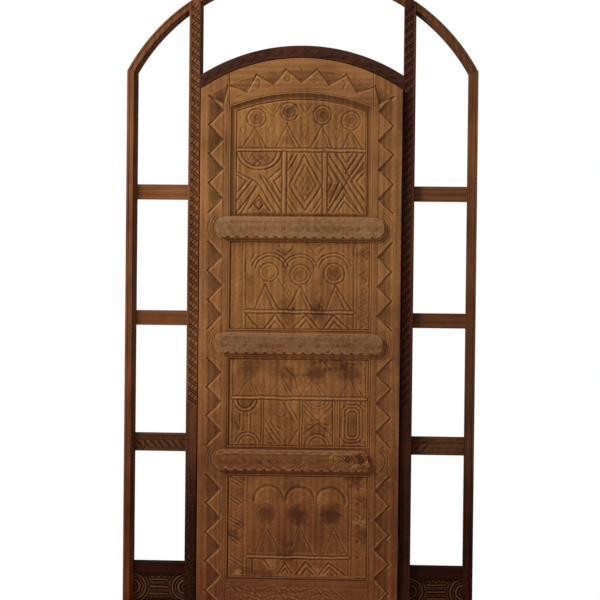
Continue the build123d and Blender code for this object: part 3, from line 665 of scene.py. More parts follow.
@dataclass(frozen=True)
class Box:
    """Limits of one solid of the frame."""

    low: Vector
    high: Vector

    @classmethod
    def of(cls, node: str) -> "Box":
        """Limits of a node."""
        return cls(*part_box(node))

    def middle(self, axis: int) -> float:
        """Middle along an axis."""
        return (self.low[axis] + self.high[axis]) / 2

    def length(self, axis: int) -> float:
        """Length along an axis."""
        return self.high[axis] - self.low[axis]


@dataclass(frozen=True)
class Arc:
    """Round line in the elevation, about a centre on the middle line of the door."""

    radius: float
    centre: float

    @classmethod
    def through(cls, crown: float, half: float, shoulder: float) -> "Arc":
        """Arc with a known top and a known height at the side.

        Args:
            crown: Height of the top.
            half: Distance of the side point from the middle line.
            shoulder: Height of the side point.

        Returns:
            The arc.
        """
        rise = crown - shoulder
        radius = (half ** 2 + rise ** 2) / (2 * rise)
        return cls(radius, crown - radius)

    def height(self, x: Array | float) -> Array | float:
        """Height of the arc at a place across the door."""
        return self.centre + np.sqrt(self.radius ** 2 - np.square(x))

    def grown(self, amount: float) -> "Arc":
        """Arc about the same centre with a larger radius."""
        return Arc(self.radius + amount, self.centre)

    def polar(self, angle: float, inset: float = 0.0) -> Point:
        """Point at an angle in degrees from straight up, and at a distance inside the arc."""
        reach, turn = self.radius - inset, math.radians(angle)
        return (reach * math.sin(turn), self.centre + reach * math.cos(turn))


# Carving

@dataclass(frozen=True)
class Patch:
    """Part of a face on which a pattern is laid out, with the lengths of its steps across and up."""

    left: float
    bottom: float
    across: float
    up: float

    def at(self, across: float, up: float) -> Point:
        """Point that lies some steps across and up."""
        return (self.left + across * self.across, self.bottom + up * self.up)


METRES = Patch(0.0, 0.0, 1.0, 1.0)


class Chisel:
    """Cuts lines and shapes into the face of one board, with a hand's small unevenness.

    Centres and radii count steps of the patch, as do the points of line, lines and bar.
    Other lengths are metres.
    """

    GROOVE = 0.0105
    DEPTH = 0.0038
    RING_DEPTH = 0.0036
    BAR_GROOVE = 0.0085
    GOUGE = 0.0065
    UNEVENNESS = 0.0011
    TOOLING = 0.00026
    DRIFT = 0.30
    FADE_A_DEGREE = 0.0006

    def __init__(self, x: Array, z: Array, patch: Patch, seed: int) -> None:
        """Lay out a face.

        Args:
            x: Places across of the face's points.
            z: Heights of the face's points.
            patch: Part of the face that patterns are laid out on.
            seed: Seed of the unevenness.
        """
        self.patch = patch
        self.chance = np.random.default_rng(seed)
        self.x = x + self.UNEVENNESS * self.wander(x, z)
        self.z = z + self.UNEVENNESS * self.wander(x, z)
        self.cut = np.zeros_like(x)
        self.swell = np.zeros_like(x)
        # Darkening painted on the face: stains and painted shade above zero, wear and painted highlights
        # below it
        self.stain = np.zeros_like(x)
        self.tooling = self.TOOLING * self.wander(x, z, 0.009, 0.035, 14)
        self.drift = self.DRIFT * self.wander(x, z, 0.015, 0.06, 12)

    def wander(self, x: Array, z: Array, short: float = 0.05, long: float = 0.17, waves: int = 6) -> Array:
        """Sum of slow waves in chance directions.

        Args:
            x: Places across.
            z: Heights.
            short: Shortest wave.
            long: Longest wave.
            waves: Number of waves.

        Returns:
            Value about 1 in size at each point.
        """
        total = np.zeros_like(x)
        for _ in range(waves):
            turn, phase = self.chance.uniform(0, 2 * math.pi, 2)
            pace = 2 * math.pi / self.chance.uniform(short, long)
            total += np.sin(pace * (x * math.cos(turn) + z * math.sin(turn)) + phase)
        return total / math.sqrt(waves)

    def distance(self, start: Point, end: Point) -> Array:
        """Distance of every point from a straight stroke.

        Args:
            start: First end of the stroke, in metres.
            end: Last end of the stroke, in metres.

        Returns:
            The distances.
        """
        run, rise = end[0] - start[0], end[1] - start[1]
        share = ((self.x - start[0]) * run + (self.z - start[1]) * rise) / (run ** 2 + rise ** 2)
        share = np.clip(share, 0.0, 1.0)
        return np.hypot(self.x - start[0] - share * run, self.z - start[1] - share * rise)

    def radius(self, centre: Point, squash: float = 1.0) -> Array:
        """Distance of every point from a centre, with heights divided by a squash."""
        x, z = self.patch.at(*centre)
        return np.hypot(self.x - x, (self.z - z) / squash)

    def off_ring(self, centre: Point, radius: float, squash: float = 1.0) -> Array:
        """Distance of every point from a ring, with heights divided by a squash."""
        return np.abs(self.radius(centre, squash) - radius * self.patch.across)

    def sink(self, away: Array, width: float, depth: float) -> None:
        """Cut a groove of a width and a depth where the distance from a line is small."""
        self.cut = np.maximum(self.cut, depth * smooth_step(1.0 - 2.0 * away / width))

    def raise_band(self, away: Array, width: float, height: float) -> None:
        """Leave a round band of a width and a height where the distance from a line is small."""
        share = np.clip(2.0 * away / width, 0.0, 1.0)
        self.swell = np.maximum(self.swell, height * np.sqrt(1.0 - share ** 2))

    def stroke(self, points: Iterable[Point], width: float = GROOVE, depth: float = DEPTH,
               closed: bool = False) -> None:
        """Cut a groove along straight strokes.

        Args:
            points: Corners of the line, in metres.
            width: Width of the groove.
            depth: Depth of the groove.
            closed: Whether the last corner joins the first.
        """
        corners = list(points)
        if closed:
            corners.append(corners[0])
        for start, end in zip(corners, corners[1:]):
            self.sink(self.distance(start, end), width, depth)

    def line(self, *points: Point, width: float = GROOVE, depth: float = DEPTH, closed: bool = False) -> None:
        """Cut a groove along straight strokes on the patch."""
        self.stroke([self.patch.at(*point) for point in points], width, depth, closed)

    def lines(self, *strokes: Sequence[Point], width: float = GROOVE, depth: float = DEPTH) -> None:
        """Cut several lines of one width and depth."""
        for stroke in strokes:
            self.line(*stroke, width=width, depth=depth)

    def bar(self, start: Point, end: Point, width: float, height: float = 0.0016) -> None:
        """Leave a round bar between two points, with a groove along each side.

        Args:
            start: First end.
            end: Last end.
            width: Width of the bar.
            height: Height of the bar.
        """
        away = self.distance(self.patch.at(*start), self.patch.at(*end))
        self.raise_band(away, width, height)
        self.sink(np.abs(away - width / 2), self.BAR_GROOVE, self.RING_DEPTH)

    def ring(self, centre: Point, radius: float, width: float = GROOVE, depth: float = RING_DEPTH) -> None:
        """Cut a round groove of a width and a depth."""
        self.sink(self.off_ring(centre, radius), width, depth)

    def bow(self, centre: Point, radius: float, start: float, end: float, width: float = GROOVE,
            depth: float = RING_DEPTH, squash: float = 1.0) -> None:
        """Cut part of a round groove, between two angles in degrees from straight up.

        Args:
            centre: Centre.
            radius: Radius.
            start: First angle, to the left when negative.
            end: Last angle.
            width: Width of the groove.
            depth: Depth of the groove.
            squash: Height of the ring over its width.
        """
        x, z = self.patch.at(*centre)
        angle = np.degrees(np.arctan2(self.x - x, self.z - z))
        off = np.abs((angle - (start + end) / 2 + 180.0) % 360.0 - 180.0)
        beyond = np.maximum(off - (end - start) / 2, 0.0)
        self.sink(self.off_ring(centre, radius, squash) + beyond * self.FADE_A_DEGREE, width, depth)

    def hollow(self, centre: Point, radius: float, depth: float) -> None:
        """Scoop a round hollow, deepest in its middle."""
        share = self.radius(centre) / (radius * self.patch.across)
        self.cut = np.maximum(self.cut, depth * smooth_step(1.0 - share))

    def gouges(self, centre: Point, reach: float, count: int, depth: float) -> None:
        """Cut short gouges in chance directions about a centre.

        Args:
            centre: Centre.
            reach: How far they lie from it.
            count: Number of gouges.
            depth: Depth of the gouges.
        """
        x, z = self.patch.at(*centre)
        for _ in range(count):
            turn, away, bend = self.chance.uniform((0.0, 0.25, 0.6), (2 * math.pi, 0.9, 1.5))
            away *= reach * self.patch.across
            ends = [(x + away * math.cos(angle), z + away * math.sin(angle)) for angle in (turn, turn + bend)]
            self.stroke(ends, self.GOUGE, depth)

    def lower(self, points: Sequence[Point], depth: float, slope: float = 0.006) -> None:
        """Sink a straight-sided shape with sloping sides.

        Args:
            points: Corners in order, in metres.
            depth: Depth of its floor.
            slope: Width of the sloping sides.
        """
        inside = np.zeros(self.x.shape, bool)
        away = np.full(self.x.shape, np.inf)
        for (x0, z0), (x1, z1) in zip(points, [*points[1:], points[0]]):
            away = np.minimum(away, self.distance((x0, z0), (x1, z1)))
            crosses = (z0 > self.z) != (z1 > self.z)
            if z1 != z0:
                inside ^= crosses & (self.x < (x1 - x0) * (self.z - z0) / (z1 - z0) + x0)
        self.cut = np.maximum(self.cut, depth * smooth_step(np.where(inside, away, 0.0) / slope))

    def chip(self, base: Point, apex: Point, last: Point, depth: float, wall: float = 0.005,
             tint: float = 0.11) -> None:
        """Cut a three-cornered chip whose floor falls from its base to its apex.

        Args:
            base: First end of the base, in metres.
            apex: Corner over the base, in metres.
            last: Last end of the base, in metres.
            depth: Depth at the apex.
            wall: Width of the two steep sides.
            tint: Darkness painted on the chip's floor, as painted shade.
        """
        run, rise = last[0] - base[0], last[1] - base[1]
        reach = run * (apex[1] - base[1]) - rise * (apex[0] - base[0])
        share = (run * (self.z - base[1]) - rise * (self.x - base[0])) / reach
        inside = share > 0.0
        for start, end, other in ((base, apex, last), (apex, last, base)):
            run, rise = end[0] - start[0], end[1] - start[1]
            keep = run * (other[1] - start[1]) - rise * (other[0] - start[0])
            inside &= (run * (self.z - start[1]) - rise * (self.x - start[0])) * keep > 0.0
        walls = smooth_step(np.minimum(self.distance(base, apex), self.distance(apex, last)) / wall)
        floor = depth * np.clip(share, 0.0, 1.0) ** 0.8 * walls
        self.cut = np.maximum(self.cut, np.where(inside, floor, 0.0))
        # Painted shade on the chip's floor
        self.stain += np.where(inside, tint * walls, 0.0)

    def smudge(self, *spots: tuple[float, float, float, float]) -> None:
        """Darken round spots with ragged edges, as stains and painted shade, or lighten them, as wear and
        painted highlights.

        Args:
            spots: Place across and up, radius, and darkness, which is below zero where lightened.
        """
        for across, up, radius, darkness in spots:
            share = self.radius((across, up)) / (radius * self.patch.across)
            self.stain += 1.6 * darkness * smooth_step(1.35 - 0.8 * share + self.drift)

    def depth(self) -> Array:
        """Depth of the finished face below the flat board."""
        return self.cut - self.swell + self.tooling


@dataclass
class CarvedBoard:
    """Board with a carved face, a flat back and eased edges, in place of one solid."""

    node: str
    body: Body
    finish: WoodFinish
    left: float
    right: float
    low: Edge
    high: Edge
    front: float
    back: float
    cell: float = 0.0026
    ease: float = 0.003
    seed: int = 1
    ground: float = 0.0
    rubbed: int = 1
    label: str = "carved_"
    bend: Optional[Bend] = None
    patch: Optional[Patch] = None
    # Depths at which hollows, cuts and the ground about the carving turn fully dark: painted shade together
    # with dirt
    dirty_hollow: float = 0.0025
    dirty_cut: float = 0.0085
    dirty_edge: float = 0.0035
    worn_ridge: float = 0.0009
    worn_edge: float = 0.004
    x: Array = field(init=False)
    z: Array = field(init=False)
    edge: Array = field(init=False)
    chisel: Chisel = field(init=False)

    @classmethod
    def on(cls, node: str, body: Body, finish: WoodFinish, **changes: object) -> "CarvedBoard":
        """Board with the limits of its solid.

        Args:
            node: The solid.
            body: Body that it moves with.
            finish: Finish of the board.
            changes: Fields with other values.

        Returns:
            The board, not yet carved.
        """
        low, high = Box.of(node).low, Box.of(node).high
        limits = {"left": low.x, "right": high.x, "low": flat(low.z), "high": flat(high.z),
                  "front": low.y, "back": high.y}
        return cls(node, body, finish, **{**limits, **changes})

    def __post_init__(self) -> None:
        """Lay out the points of the face, with a chisel on it."""
        across = self.left + spaced(self.right - self.left, self.cell, self.ease)
        low, high = self.low(across), self.high(across)
        tall = float(np.max(high - low))
        up = spaced(tall, self.cell, self.ease) / tall
        self.x = np.repeat(across[:, None], len(up), axis=1)
        self.z = low[:, None] + (high - low)[:, None] * up[None, :]
        side = np.minimum(self.x - self.left, self.right - self.x)
        ends = np.minimum(self.z - low[:, None], high[:, None] - self.z)
        self.edge = np.minimum(side, ends)
        if self.patch is None:
            self.patch = Patch(self.left, float(low.min()), self.right - self.left,
                               float(high.max() - low.min()))
        if self.bend is not None:
            self.x = self.bend(self.x, self.z)
        self.chisel = Chisel(self.x, self.z, self.patch, self.seed)

    def build(self, *cutters: bpy.types.Object) -> None:
        """Make the board with what the chisel has cut, and dress it.

        Args:
            cutters: Closed objects whose space is taken out of it.
        """
        chisel = self.chisel
        worked = soften(chisel.depth(), self.rubbed) + self.ground
        eased = np.clip(self.ease - self.edge, 0.0, self.ease)
        rounding = self.ease - np.sqrt(np.maximum(self.ease ** 2 - eased ** 2, 0.0))
        # Cavity: painted shade and dirt in hollows, in cuts and about the carving, with the chisel's
        # darkening. Wear: worn ridges and eased edges, with the chisel's pale marks, wear and painted
        # highlights.
        hollow = worked - soften(worked, 9)
        sunk = np.clip(chisel.cut / self.dirty_cut, 0.0, 1.0)
        about = soften(np.clip(chisel.cut / self.dirty_edge, 0.0, 1.0), 45)
        dirt = hollow / self.dirty_hollow + 0.30 * sunk + 0.16 * about + chisel.stain
        wear = -hollow / self.worn_ridge + rounding / self.worn_edge - chisel.stain
        values = {CAVITY: np.clip(dirt, 0.0, 1.0), WEAR_AND_HIGHLIGHT: np.clip(wear, 0.0, 1.0)}
        piece = add_object(self.label + self.node, self.closed_mesh(worked + rounding, values))
        for cutter in cutters:
            cut_away(piece, cutter)
        dress(piece, self.finish, self.body, self.node)

    def closed_mesh(self, depth: Array, values: dict[str, Array]) -> bpy.types.Mesh:
        """Close the face with walls and a back.

        Args:
            depth: Depth of the face below the flat board.
            values: Attributes of the face's points.

        Returns:
            The mesh.
        """
        columns, rows = self.x.shape
        index = np.arange(columns * rows).reshape(columns, rows)
        face = np.stack([self.x, self.front + depth, self.z], -1).reshape(-1, 3)
        quads = np.stack([index[:-1, :-1], index[1:, :-1], index[1:, 1:], index[:-1, 1:]], -1).reshape(-1, 4)
        rim = np.concatenate([index[:, 0], index[-1, 1:], index[-2::-1, -1], index[0, -2:0:-1]])
        behind = (face if self.bend else face[rim]).copy()
        behind[:, Y] = self.back
        rear = len(face) + (rim if self.bend else np.arange(len(rim)))
        walls = np.stack([rim, rear, np.roll(rear, -1), np.roll(rim, -1)], -1)
        back = quads[:, ::-1] + len(face) if self.bend else self.back_faces(rear, columns, rows)
        clean = np.zeros(len(behind))
        padded = {name: np.concatenate([value.ravel(), clean]) for name, value in values.items()}
        points = np.concatenate([face, behind])
        return make_mesh(self.label + self.node, points, quads, [*walls, *back], values=padded)

    @staticmethod
    def back_faces(rear: Array, columns: int, rows: int) -> list[Array]:
        """Flat back, as one upright strip for each column of the face.

        Args:
            rear: Points round the back, from the foot's left end against the clock.
            columns: Number of columns of the face.
            rows: Number of rows of the face.

        Returns:
            The faces of the back.
        """
        foot, right, top, left = np.split(rear, np.cumsum([columns, rows - 2, columns]))
        top, left, nothing = top[::-1], left[::-1], rear[:0]
        faces = []
        for place in range(columns - 1):
            before = nothing if place else left
            after = right[::-1] if place == columns - 2 else nothing
            faces.append(np.concatenate([foot[place:place + 1], before, top[place:place + 2], after,
                                         foot[place + 1:place + 2]]))
        return faces


# Leaf

@dataclass
class LeafSizes:
    """Lines of the leaf, read from its solids."""

    zigzag_margin: float = 0.036
    zigzag_width: float = 0.061
    zigzag_pitch: float = 0.1217
    arch_margin: float = 0.043
    arch_zigzag: float = 0.058
    arch_step: float = 10.4
    half: float = field(init=False)
    stile_inner: float = field(init=False)
    bottom: float = field(init=False)
    front: float = field(init=False)
    back: float = field(init=False)
    crown: Arc = field(init=False)
    opening: Arc = field(init=False)
    levels: tuple[float, ...] = field(init=False)

    def __post_init__(self) -> None:
        """Read the solids."""
        stile, rail = Box.of("stile_right"), Box.of("top_rail")
        self.half = stile.high.x
        self.stile_inner = stile.low.x
        self.bottom = stile.low.z
        self.front = stile.low.y
        self.back = stile.high.y
        self.crown = Arc.through(rail.high.z, self.stile_inner, stile.high.z)
        self.opening = Arc.through(Box.of("panel_1_moulding").high.z, self.stile_inner, rail.low.z)
        self.levels = tuple(Box.of(f"batten_{number}").middle(Z) for number in (1, 2, 3))


# Profiles of the mouldings: share of the width, place in depth, and dirt with painted shade above zero or
# wear with painted highlight below it
BROAD_PROFILE = ((0.0, -0.0180, 0.4), (0.05, -0.0195, -0.6), (0.11, -0.0197, -1.0), (0.17, -0.0193, -0.5),
                 (0.22, -0.0174, 0.45), (0.31, -0.0152, 0.5), (0.43, -0.0136, 0.5), (0.57, -0.0126, 0.55),
                 (0.70, -0.0122, 0.6), (0.78, -0.0124, 0.5), (0.83, -0.0143, 0.1), (0.88, -0.0150, -0.4),
                 (0.94, -0.0148, 0.2), (1.0, -0.0120, 1.0), (1.0, -0.0095, 1.0), (0.0, -0.0095, 1.0))
THIN_PROFILE = ((0.0, -0.0172, 0.7), (0.14, -0.0188, 0.0), (0.42, -0.0197, -0.9), (0.68, -0.0188, -0.4),
                (0.88, -0.0160, 0.2), (1.0, -0.0125, 0.8), (1.0, -0.0095, 1.0), (0.0, -0.0095, 1.0))


@dataclass
class CarvedPanel:
    """Panel with line carving on a field inside its moulding, laid out in thousandths of that field."""

    sizes: LeafSizes
    node: str
    seed: int
    margin: float = 0.009
    foot_margin: float = 0.009
    profile: Profile = THIN_PROFILE
    # Weight of the moulding's painted shade and dirt on its foot, right side, top and left side, as the light
    # falls; below zero they turn into painted highlight and wear
    dirt: tuple[float, float, float, float] = (1.0, 1.0, 1.0, 1.0)
    ground: float = 0.0038
    tuck: float = 0.002
    steps: int = 1000
    opening: Box = field(init=False)
    chisel: Chisel = field(init=False)

    def __post_init__(self) -> None:
        """Read the moulding's solid, which fills the opening."""
        self.opening = Box.of(self.node + "_moulding")

    def top(self, grow: float) -> Edge:
        """Upper edge of the opening, moved out by a distance."""
        return flat(self.opening.high.z + grow)

    def build(self) -> None:
        """Carve the panel and dress it."""
        low, high, tuck = self.opening.low, self.opening.high, self.tuck
        left, bottom = low.x + self.margin, low.z + self.foot_margin
        patch = Patch(left, bottom, -2 * left / self.steps, (high.z - self.margin - bottom) / self.steps)
        board = CarvedBoard.on(self.node, Body.LEAF, PANEL_FINISH, left=low.x - tuck, right=high.x + tuck,
                               low=flat(low.z - tuck), high=self.top(tuck), seed=self.seed,
                               ground=self.ground, patch=patch)
        self.chisel = board.chisel
        self.carve()
        self.border()
        board.build()

    def carve(self) -> None:
        """Cut the pattern of the panel."""
        raise NotImplementedError

    def border(self) -> None:
        """Cut a groove along the inner edge of the moulding."""
        chisel, patch = self.chisel, self.chisel.patch
        sides = np.minimum(chisel.x - patch.left, -patch.left - chisel.x)
        ends = np.minimum(chisel.z - patch.bottom, self.top(-self.margin)(chisel.x) - chisel.z)
        inset = np.minimum(sides, ends)
        chisel.sink(np.abs(inset), 0.008, 0.0030)
        chisel.cut = np.maximum(chisel.cut, 0.0040 * smooth_step(-inset / 0.003))

    def head(self, centre: Point, radius: float, depth: float = 0.0036) -> None:
        """Ring within a ring, with a curl in its middle.

        Args:
            centre: Centre.
            radius: Outer radius.
            depth: Depth of the grooves.
        """
        chisel, inner = self.chisel, radius * 0.66
        chisel.ring(centre, radius, depth=depth * 0.8)
        chisel.ring(centre, inner, depth=depth * 0.62, width=0.009)
        chisel.hollow(centre, radius * 0.75, depth * 0.55)
        chisel.gouges(centre, inner, 5, depth * 0.62)
        chisel.bow((centre[0] + radius * 0.18, centre[1]), radius * 0.3, -140.0, 60.0, 0.007, depth * 0.9)

    def skirt(self, apex: Point, left: float, right: float, foot: float, depth: float = 0.0036) -> None:
        """Triangle with a second line along its right side and a shallow chip at its left.

        Args:
            apex: Top.
            left: Place across of its left foot.
            right: Place across of its right foot.
            foot: Height of its feet.
            depth: Depth of the grooves.
        """
        chisel, (across, up) = self.chisel, apex
        tall = up - foot
        chisel.line((left, foot), apex, depth=depth * 0.8)
        chisel.line(apex, (right, foot), depth=depth)
        chisel.line((across + 4, up - tall * 0.24), (across + (right - across) * 0.62, foot),
                    depth=depth * 0.9, width=0.009)
        corners = ((left, foot), (across - 6, up - tall * 0.42), (across * 0.75 + left * 0.25, foot))
        chisel.chip(*[chisel.patch.at(*corner) for corner in corners], depth * 0.6, wall=0.012)


@dataclass
class ArchedPanel(CarvedPanel):
    """Top panel: four figures over a bar, with a half round, a diamond and crossed bands below it."""

    node: str = "panel_1"
    seed: int = 21
    margin: float = 0.030
    foot_margin: float = 0.012
    profile: Profile = BROAD_PROFILE
    # Painted shade strongest under the arched top of the moulding, weaker on its lit sides
    dirt: tuple[float, float, float, float] = (0.8, 0.5, 1.0, 0.5)

    def top(self, grow: float) -> Edge:
        """Arched edge of the opening, moved out by a distance."""
        return self.sizes.opening.grown(grow).height

    def carve(self) -> None:
        """Cut the pattern of the panel."""
        chisel = self.chisel
        figures = (((153, 836), (146, 750), 47, 228), ((406, 894), (394, 790), 304, 490),
                   ((663, 865), (659, 778), 575, 738), ((883, 816), (880, 726), 818, 972))
        for centre, apex, left, right in figures:
            self.head(centre, 71)
            self.skirt(apex, left, right, 584)
        for across, up, size in ((51, 725, 24), (274, 728, 28), (527, 730, 34), (775, 705, 30)):
            self.drop(across, up, size)
        chisel.line((204, 930), (278, 849), (351, 965), depth=0.0022)
        chisel.line((487, 958), (533, 878), (580, 965), depth=0.0020)
        chisel.lines(((235, 950), (276, 895), (315, 965)), ((742, 900), (775, 830), (800, 895)), depth=0.0018)
        chisel.bar((-20, 558), (1020, 558), 0.0150, 0.0020)
        for middle, width in ((374, 38), (686.5, 39)):
            chisel.bar((middle, 0), (middle, 535), width * chisel.patch.across, 0.0012)
        self.half_round()
        self.diamond()
        self.crossed()
        chisel.line((0, 6), (1000, 6), depth=0.0022)
        chisel.gouges((535, 200), 55, 9, 0.0024)
        chisel.smudge((153, 836, 50, 0.16), (406, 894, 55, 0.30), (663, 865, 55, 0.26), (883, 816, 45, 0.12),
                      (400, 650, 30, 0.26), (560, 940, 60, 0.14), (430, 450, 40, 0.22), (770, 200, 65, 0.30),
                      (180, 70, 50, 0.20), (380, 220, 35, 0.18), (170, 460, 70, 0.18), (170, 385, 35, -0.45),
                      (275, 340, 30, -0.35), (940, 280, 40, -0.20), (290, 720, 60, -0.20),
                      (480, 90, 40, 0.16))

    def drop(self, across: float, up: float, size: float) -> None:
        """Heart-shaped drop with its point down.

        Args:
            across: Place across of its middle.
            up: Place up of its middle.
            size: Half its width.
        """
        tall = size * 2.1
        self.chisel.line((across - size, up + tall * 0.25), (across - size * 0.45, up + tall * 0.62),
                         (across + size * 0.5, up + tall * 0.58), (across + size, up + tall * 0.2),
                         (across + size * 0.1, up - tall), closed=True, width=0.006, depth=0.0024)

    def half_round(self) -> None:
        """Left cell: a hanging half round over crossed bands."""
        chisel, hung, squash = self.chisel, (177, 540), 0.79
        for radius in (172, 136):
            chisel.bow(hung, radius, 90.0, 270.0, depth=0.0034, squash=squash)
        below = chisel.z < chisel.patch.at(0, 535)[1]
        chisel.raise_band(np.where(below, chisel.off_ring(hung, 154, squash), 1.0), 0.015, 0.0018)
        chisel.lines(((62, 525), (95, 470), (130, 525)), ((230, 525), (252, 482), (272, 525)),
                     ((130, 500), (215, 415)), ((215, 505), (125, 420)), ((165, 525), (240, 450)),
                     ((190, 450), (170, 405)), depth=0.0024, width=0.006)
        chisel.lines(((12, 365), (130, 300), (3, 112)), ((12, 338), (75, 284), (12, 190)),
                     ((180, 258), (3, 14)), ((165, 265), (47, 14)), ((345, 400), (246, 306), (352, 112)),
                     ((345, 338), (290, 288), (345, 186)), ((182, 335), (354, 30)), ((180, 252), (308, 14)),
                     ((130, 300), (175, 262)), ((213, 330), (345, 110)), ((100, 45), (181, 162), (262, 30)),
                     ((145, 85), (178, 130), (210, 85)), ((145, 85), (178, 40), (210, 85)))

    def diamond(self) -> None:
        """Middle cell: a diamond with a lattice inside it and nested corners."""
        chisel = self.chisel
        corners = ((526, 520), (661, 252), (535, 36), (411, 252))
        middle = (sum(across for across, _ in corners) / 4, sum(up for _, up in corners) / 4)
        inner = [between(middle, corner, 0.66) for corner in corners]
        chisel.line(*corners, closed=True)
        chisel.line(*inner, closed=True, depth=0.0028)
        top, right, foot, left = inner
        for share in (0.3, 0.55, 0.8):
            for first, last in (((left, top), (foot, right)), ((top, right), (left, foot))):
                chisel.line(between(*first, share), between(*last, share), depth=0.0022, width=0.0055)
        for (across, up), run, rise in (((402, 528), 75, -150), ((655, 528), -78, -155),
                                        ((402, 22), 78, 135), ((655, 22), -72, 130)):
            for share in (0.55, 1.0):
                chisel.line((across, up + rise * share), (across + run * share, up), depth=0.0030)

    def crossed(self) -> None:
        """Right cell: crossed bands with nested chevrons on all four sides."""
        self.chisel.lines(
            ((714, 530), (996, 30)), ((765, 530), (996, 120)), ((714, 445), (960, 14)),
            ((990, 530), (714, 30)), ((940, 530), (845, 355)), ((990, 450), (890, 290)),
            ((810, 525), (850, 450), (897, 525)), ((780, 525), (853, 385), (937, 525)),
            ((990, 370), (934, 288), (990, 200)), ((992, 415), (886, 288), (996, 130)),
            ((798, 45), (840, 112), (920, 25)), ((755, 20), (842, 178), (952, 20)),
            ((712, 355), (747, 288), (714, 210)), ((712, 448), (795, 275), (725, 112)))


@dataclass
class RingPanel(CarvedPanel):
    """Second panel: three figures under double arches, between two carved strips."""

    node: str = "panel_2"
    seed: int = 22
    dirt: tuple[float, float, float, float] = (1.0, 0.7, 0.9, 1.0)

    def carve(self) -> None:
        """Cut the pattern of the panel."""
        chisel = self.chisel
        for across in (88, 112, 887, 911):
            chisel.line((across, -10), (across, 1010), width=0.006, depth=0.0028)
        for centre, radius in (((278, 650), 68), ((504, 624), 73), ((746, 640), 75)):
            self.head(centre, radius)
        for centre, outer in (((287, 690), 132), ((503, 690), 125), ((740, 700), 128)):
            for radius, reach in ((outer, 82.0), (outer * 0.80, 88.0)):
                chisel.bow(centre, radius, -reach, reach, squash=0.84)
        for apex, left, right in (((252, 512), 180, 352), ((503, 496), 414, 594), ((758, 505), 690, 872)):
            self.skirt(apex, left, right, 222)
        chisel.lines(((348, 950), (398, 855)), ((340, 905), (392, 842)), ((452, 950), (402, 855)),
                     ((566, 955), (618, 845), (677, 935)), ((596, 975), (618, 938), (645, 970)),
                     ((805, 912), (878, 780)), ((140, 780), (180, 880)), ((350, 560), (428, 370)),
                     ((385, 545), (440, 400)), ((640, 222), (640, 300), (668, 222)), depth=0.0022)
        chisel.bar((112, 197), (887, 197), 0.0150)
        chisel.lines(((117, 165), (207, 0)), ((252, 10), (328, 168), (398, 10)),
                     ((290, 10), (330, 85), (365, 10)), ((458, 15), (552, 165), (642, 0)),
                     ((500, 10), (552, 95), (595, 10)), ((674, 10), (742, 168), (862, 0)),
                     ((715, 10), (750, 90), (800, 10)))
        self.strip(12, 78, 0.0011)
        self.strip(922, 988, 0.0020)
        chisel.line((108, 645), (106, 770), width=0.0045, depth=0.0060)
        # Dark spots: stains, and painted shade under and between the arches; pale spots: painted highlights
        chisel.smudge((397, 866, 50, 0.26), (594, 444, 50, 0.18), (388, 270, 55, 0.26), (630, 270, 45, 0.28),
                      (433, 148, 50, 0.26), (630, 150, 50, 0.24), (145, 560, 30, 0.24), (152, 345, 22, 0.18),
                      (960, 880, 40, 0.32), (965, 630, 35, 0.22), (397, 665, 35, 0.20), (746, 640, 55, 0.16),
                      (326, 45, 30, -0.60), (515, 65, 45, -0.35), (50, 500, 45, -0.25), (290, 655, 25, -0.35))

    def strip(self, left: float, right: float, depth: float) -> None:
        """Upright strip of a zigzag with a small chevron in each of its teeth.

        Args:
            left: Place across of its left side.
            right: Place across of its right side.
            depth: Depth of the grooves.
        """
        pitch = 125
        for low in range(0, self.steps, pitch):
            middle = low + pitch / 2
            self.chisel.line((left, low), (right, middle), (left, low + pitch), depth=depth, width=0.0065)
            self.chisel.line((left + 12, middle - 30), (left + 32, middle), (left + 12, middle + 30),
                             depth=depth * 0.7, width=0.005)


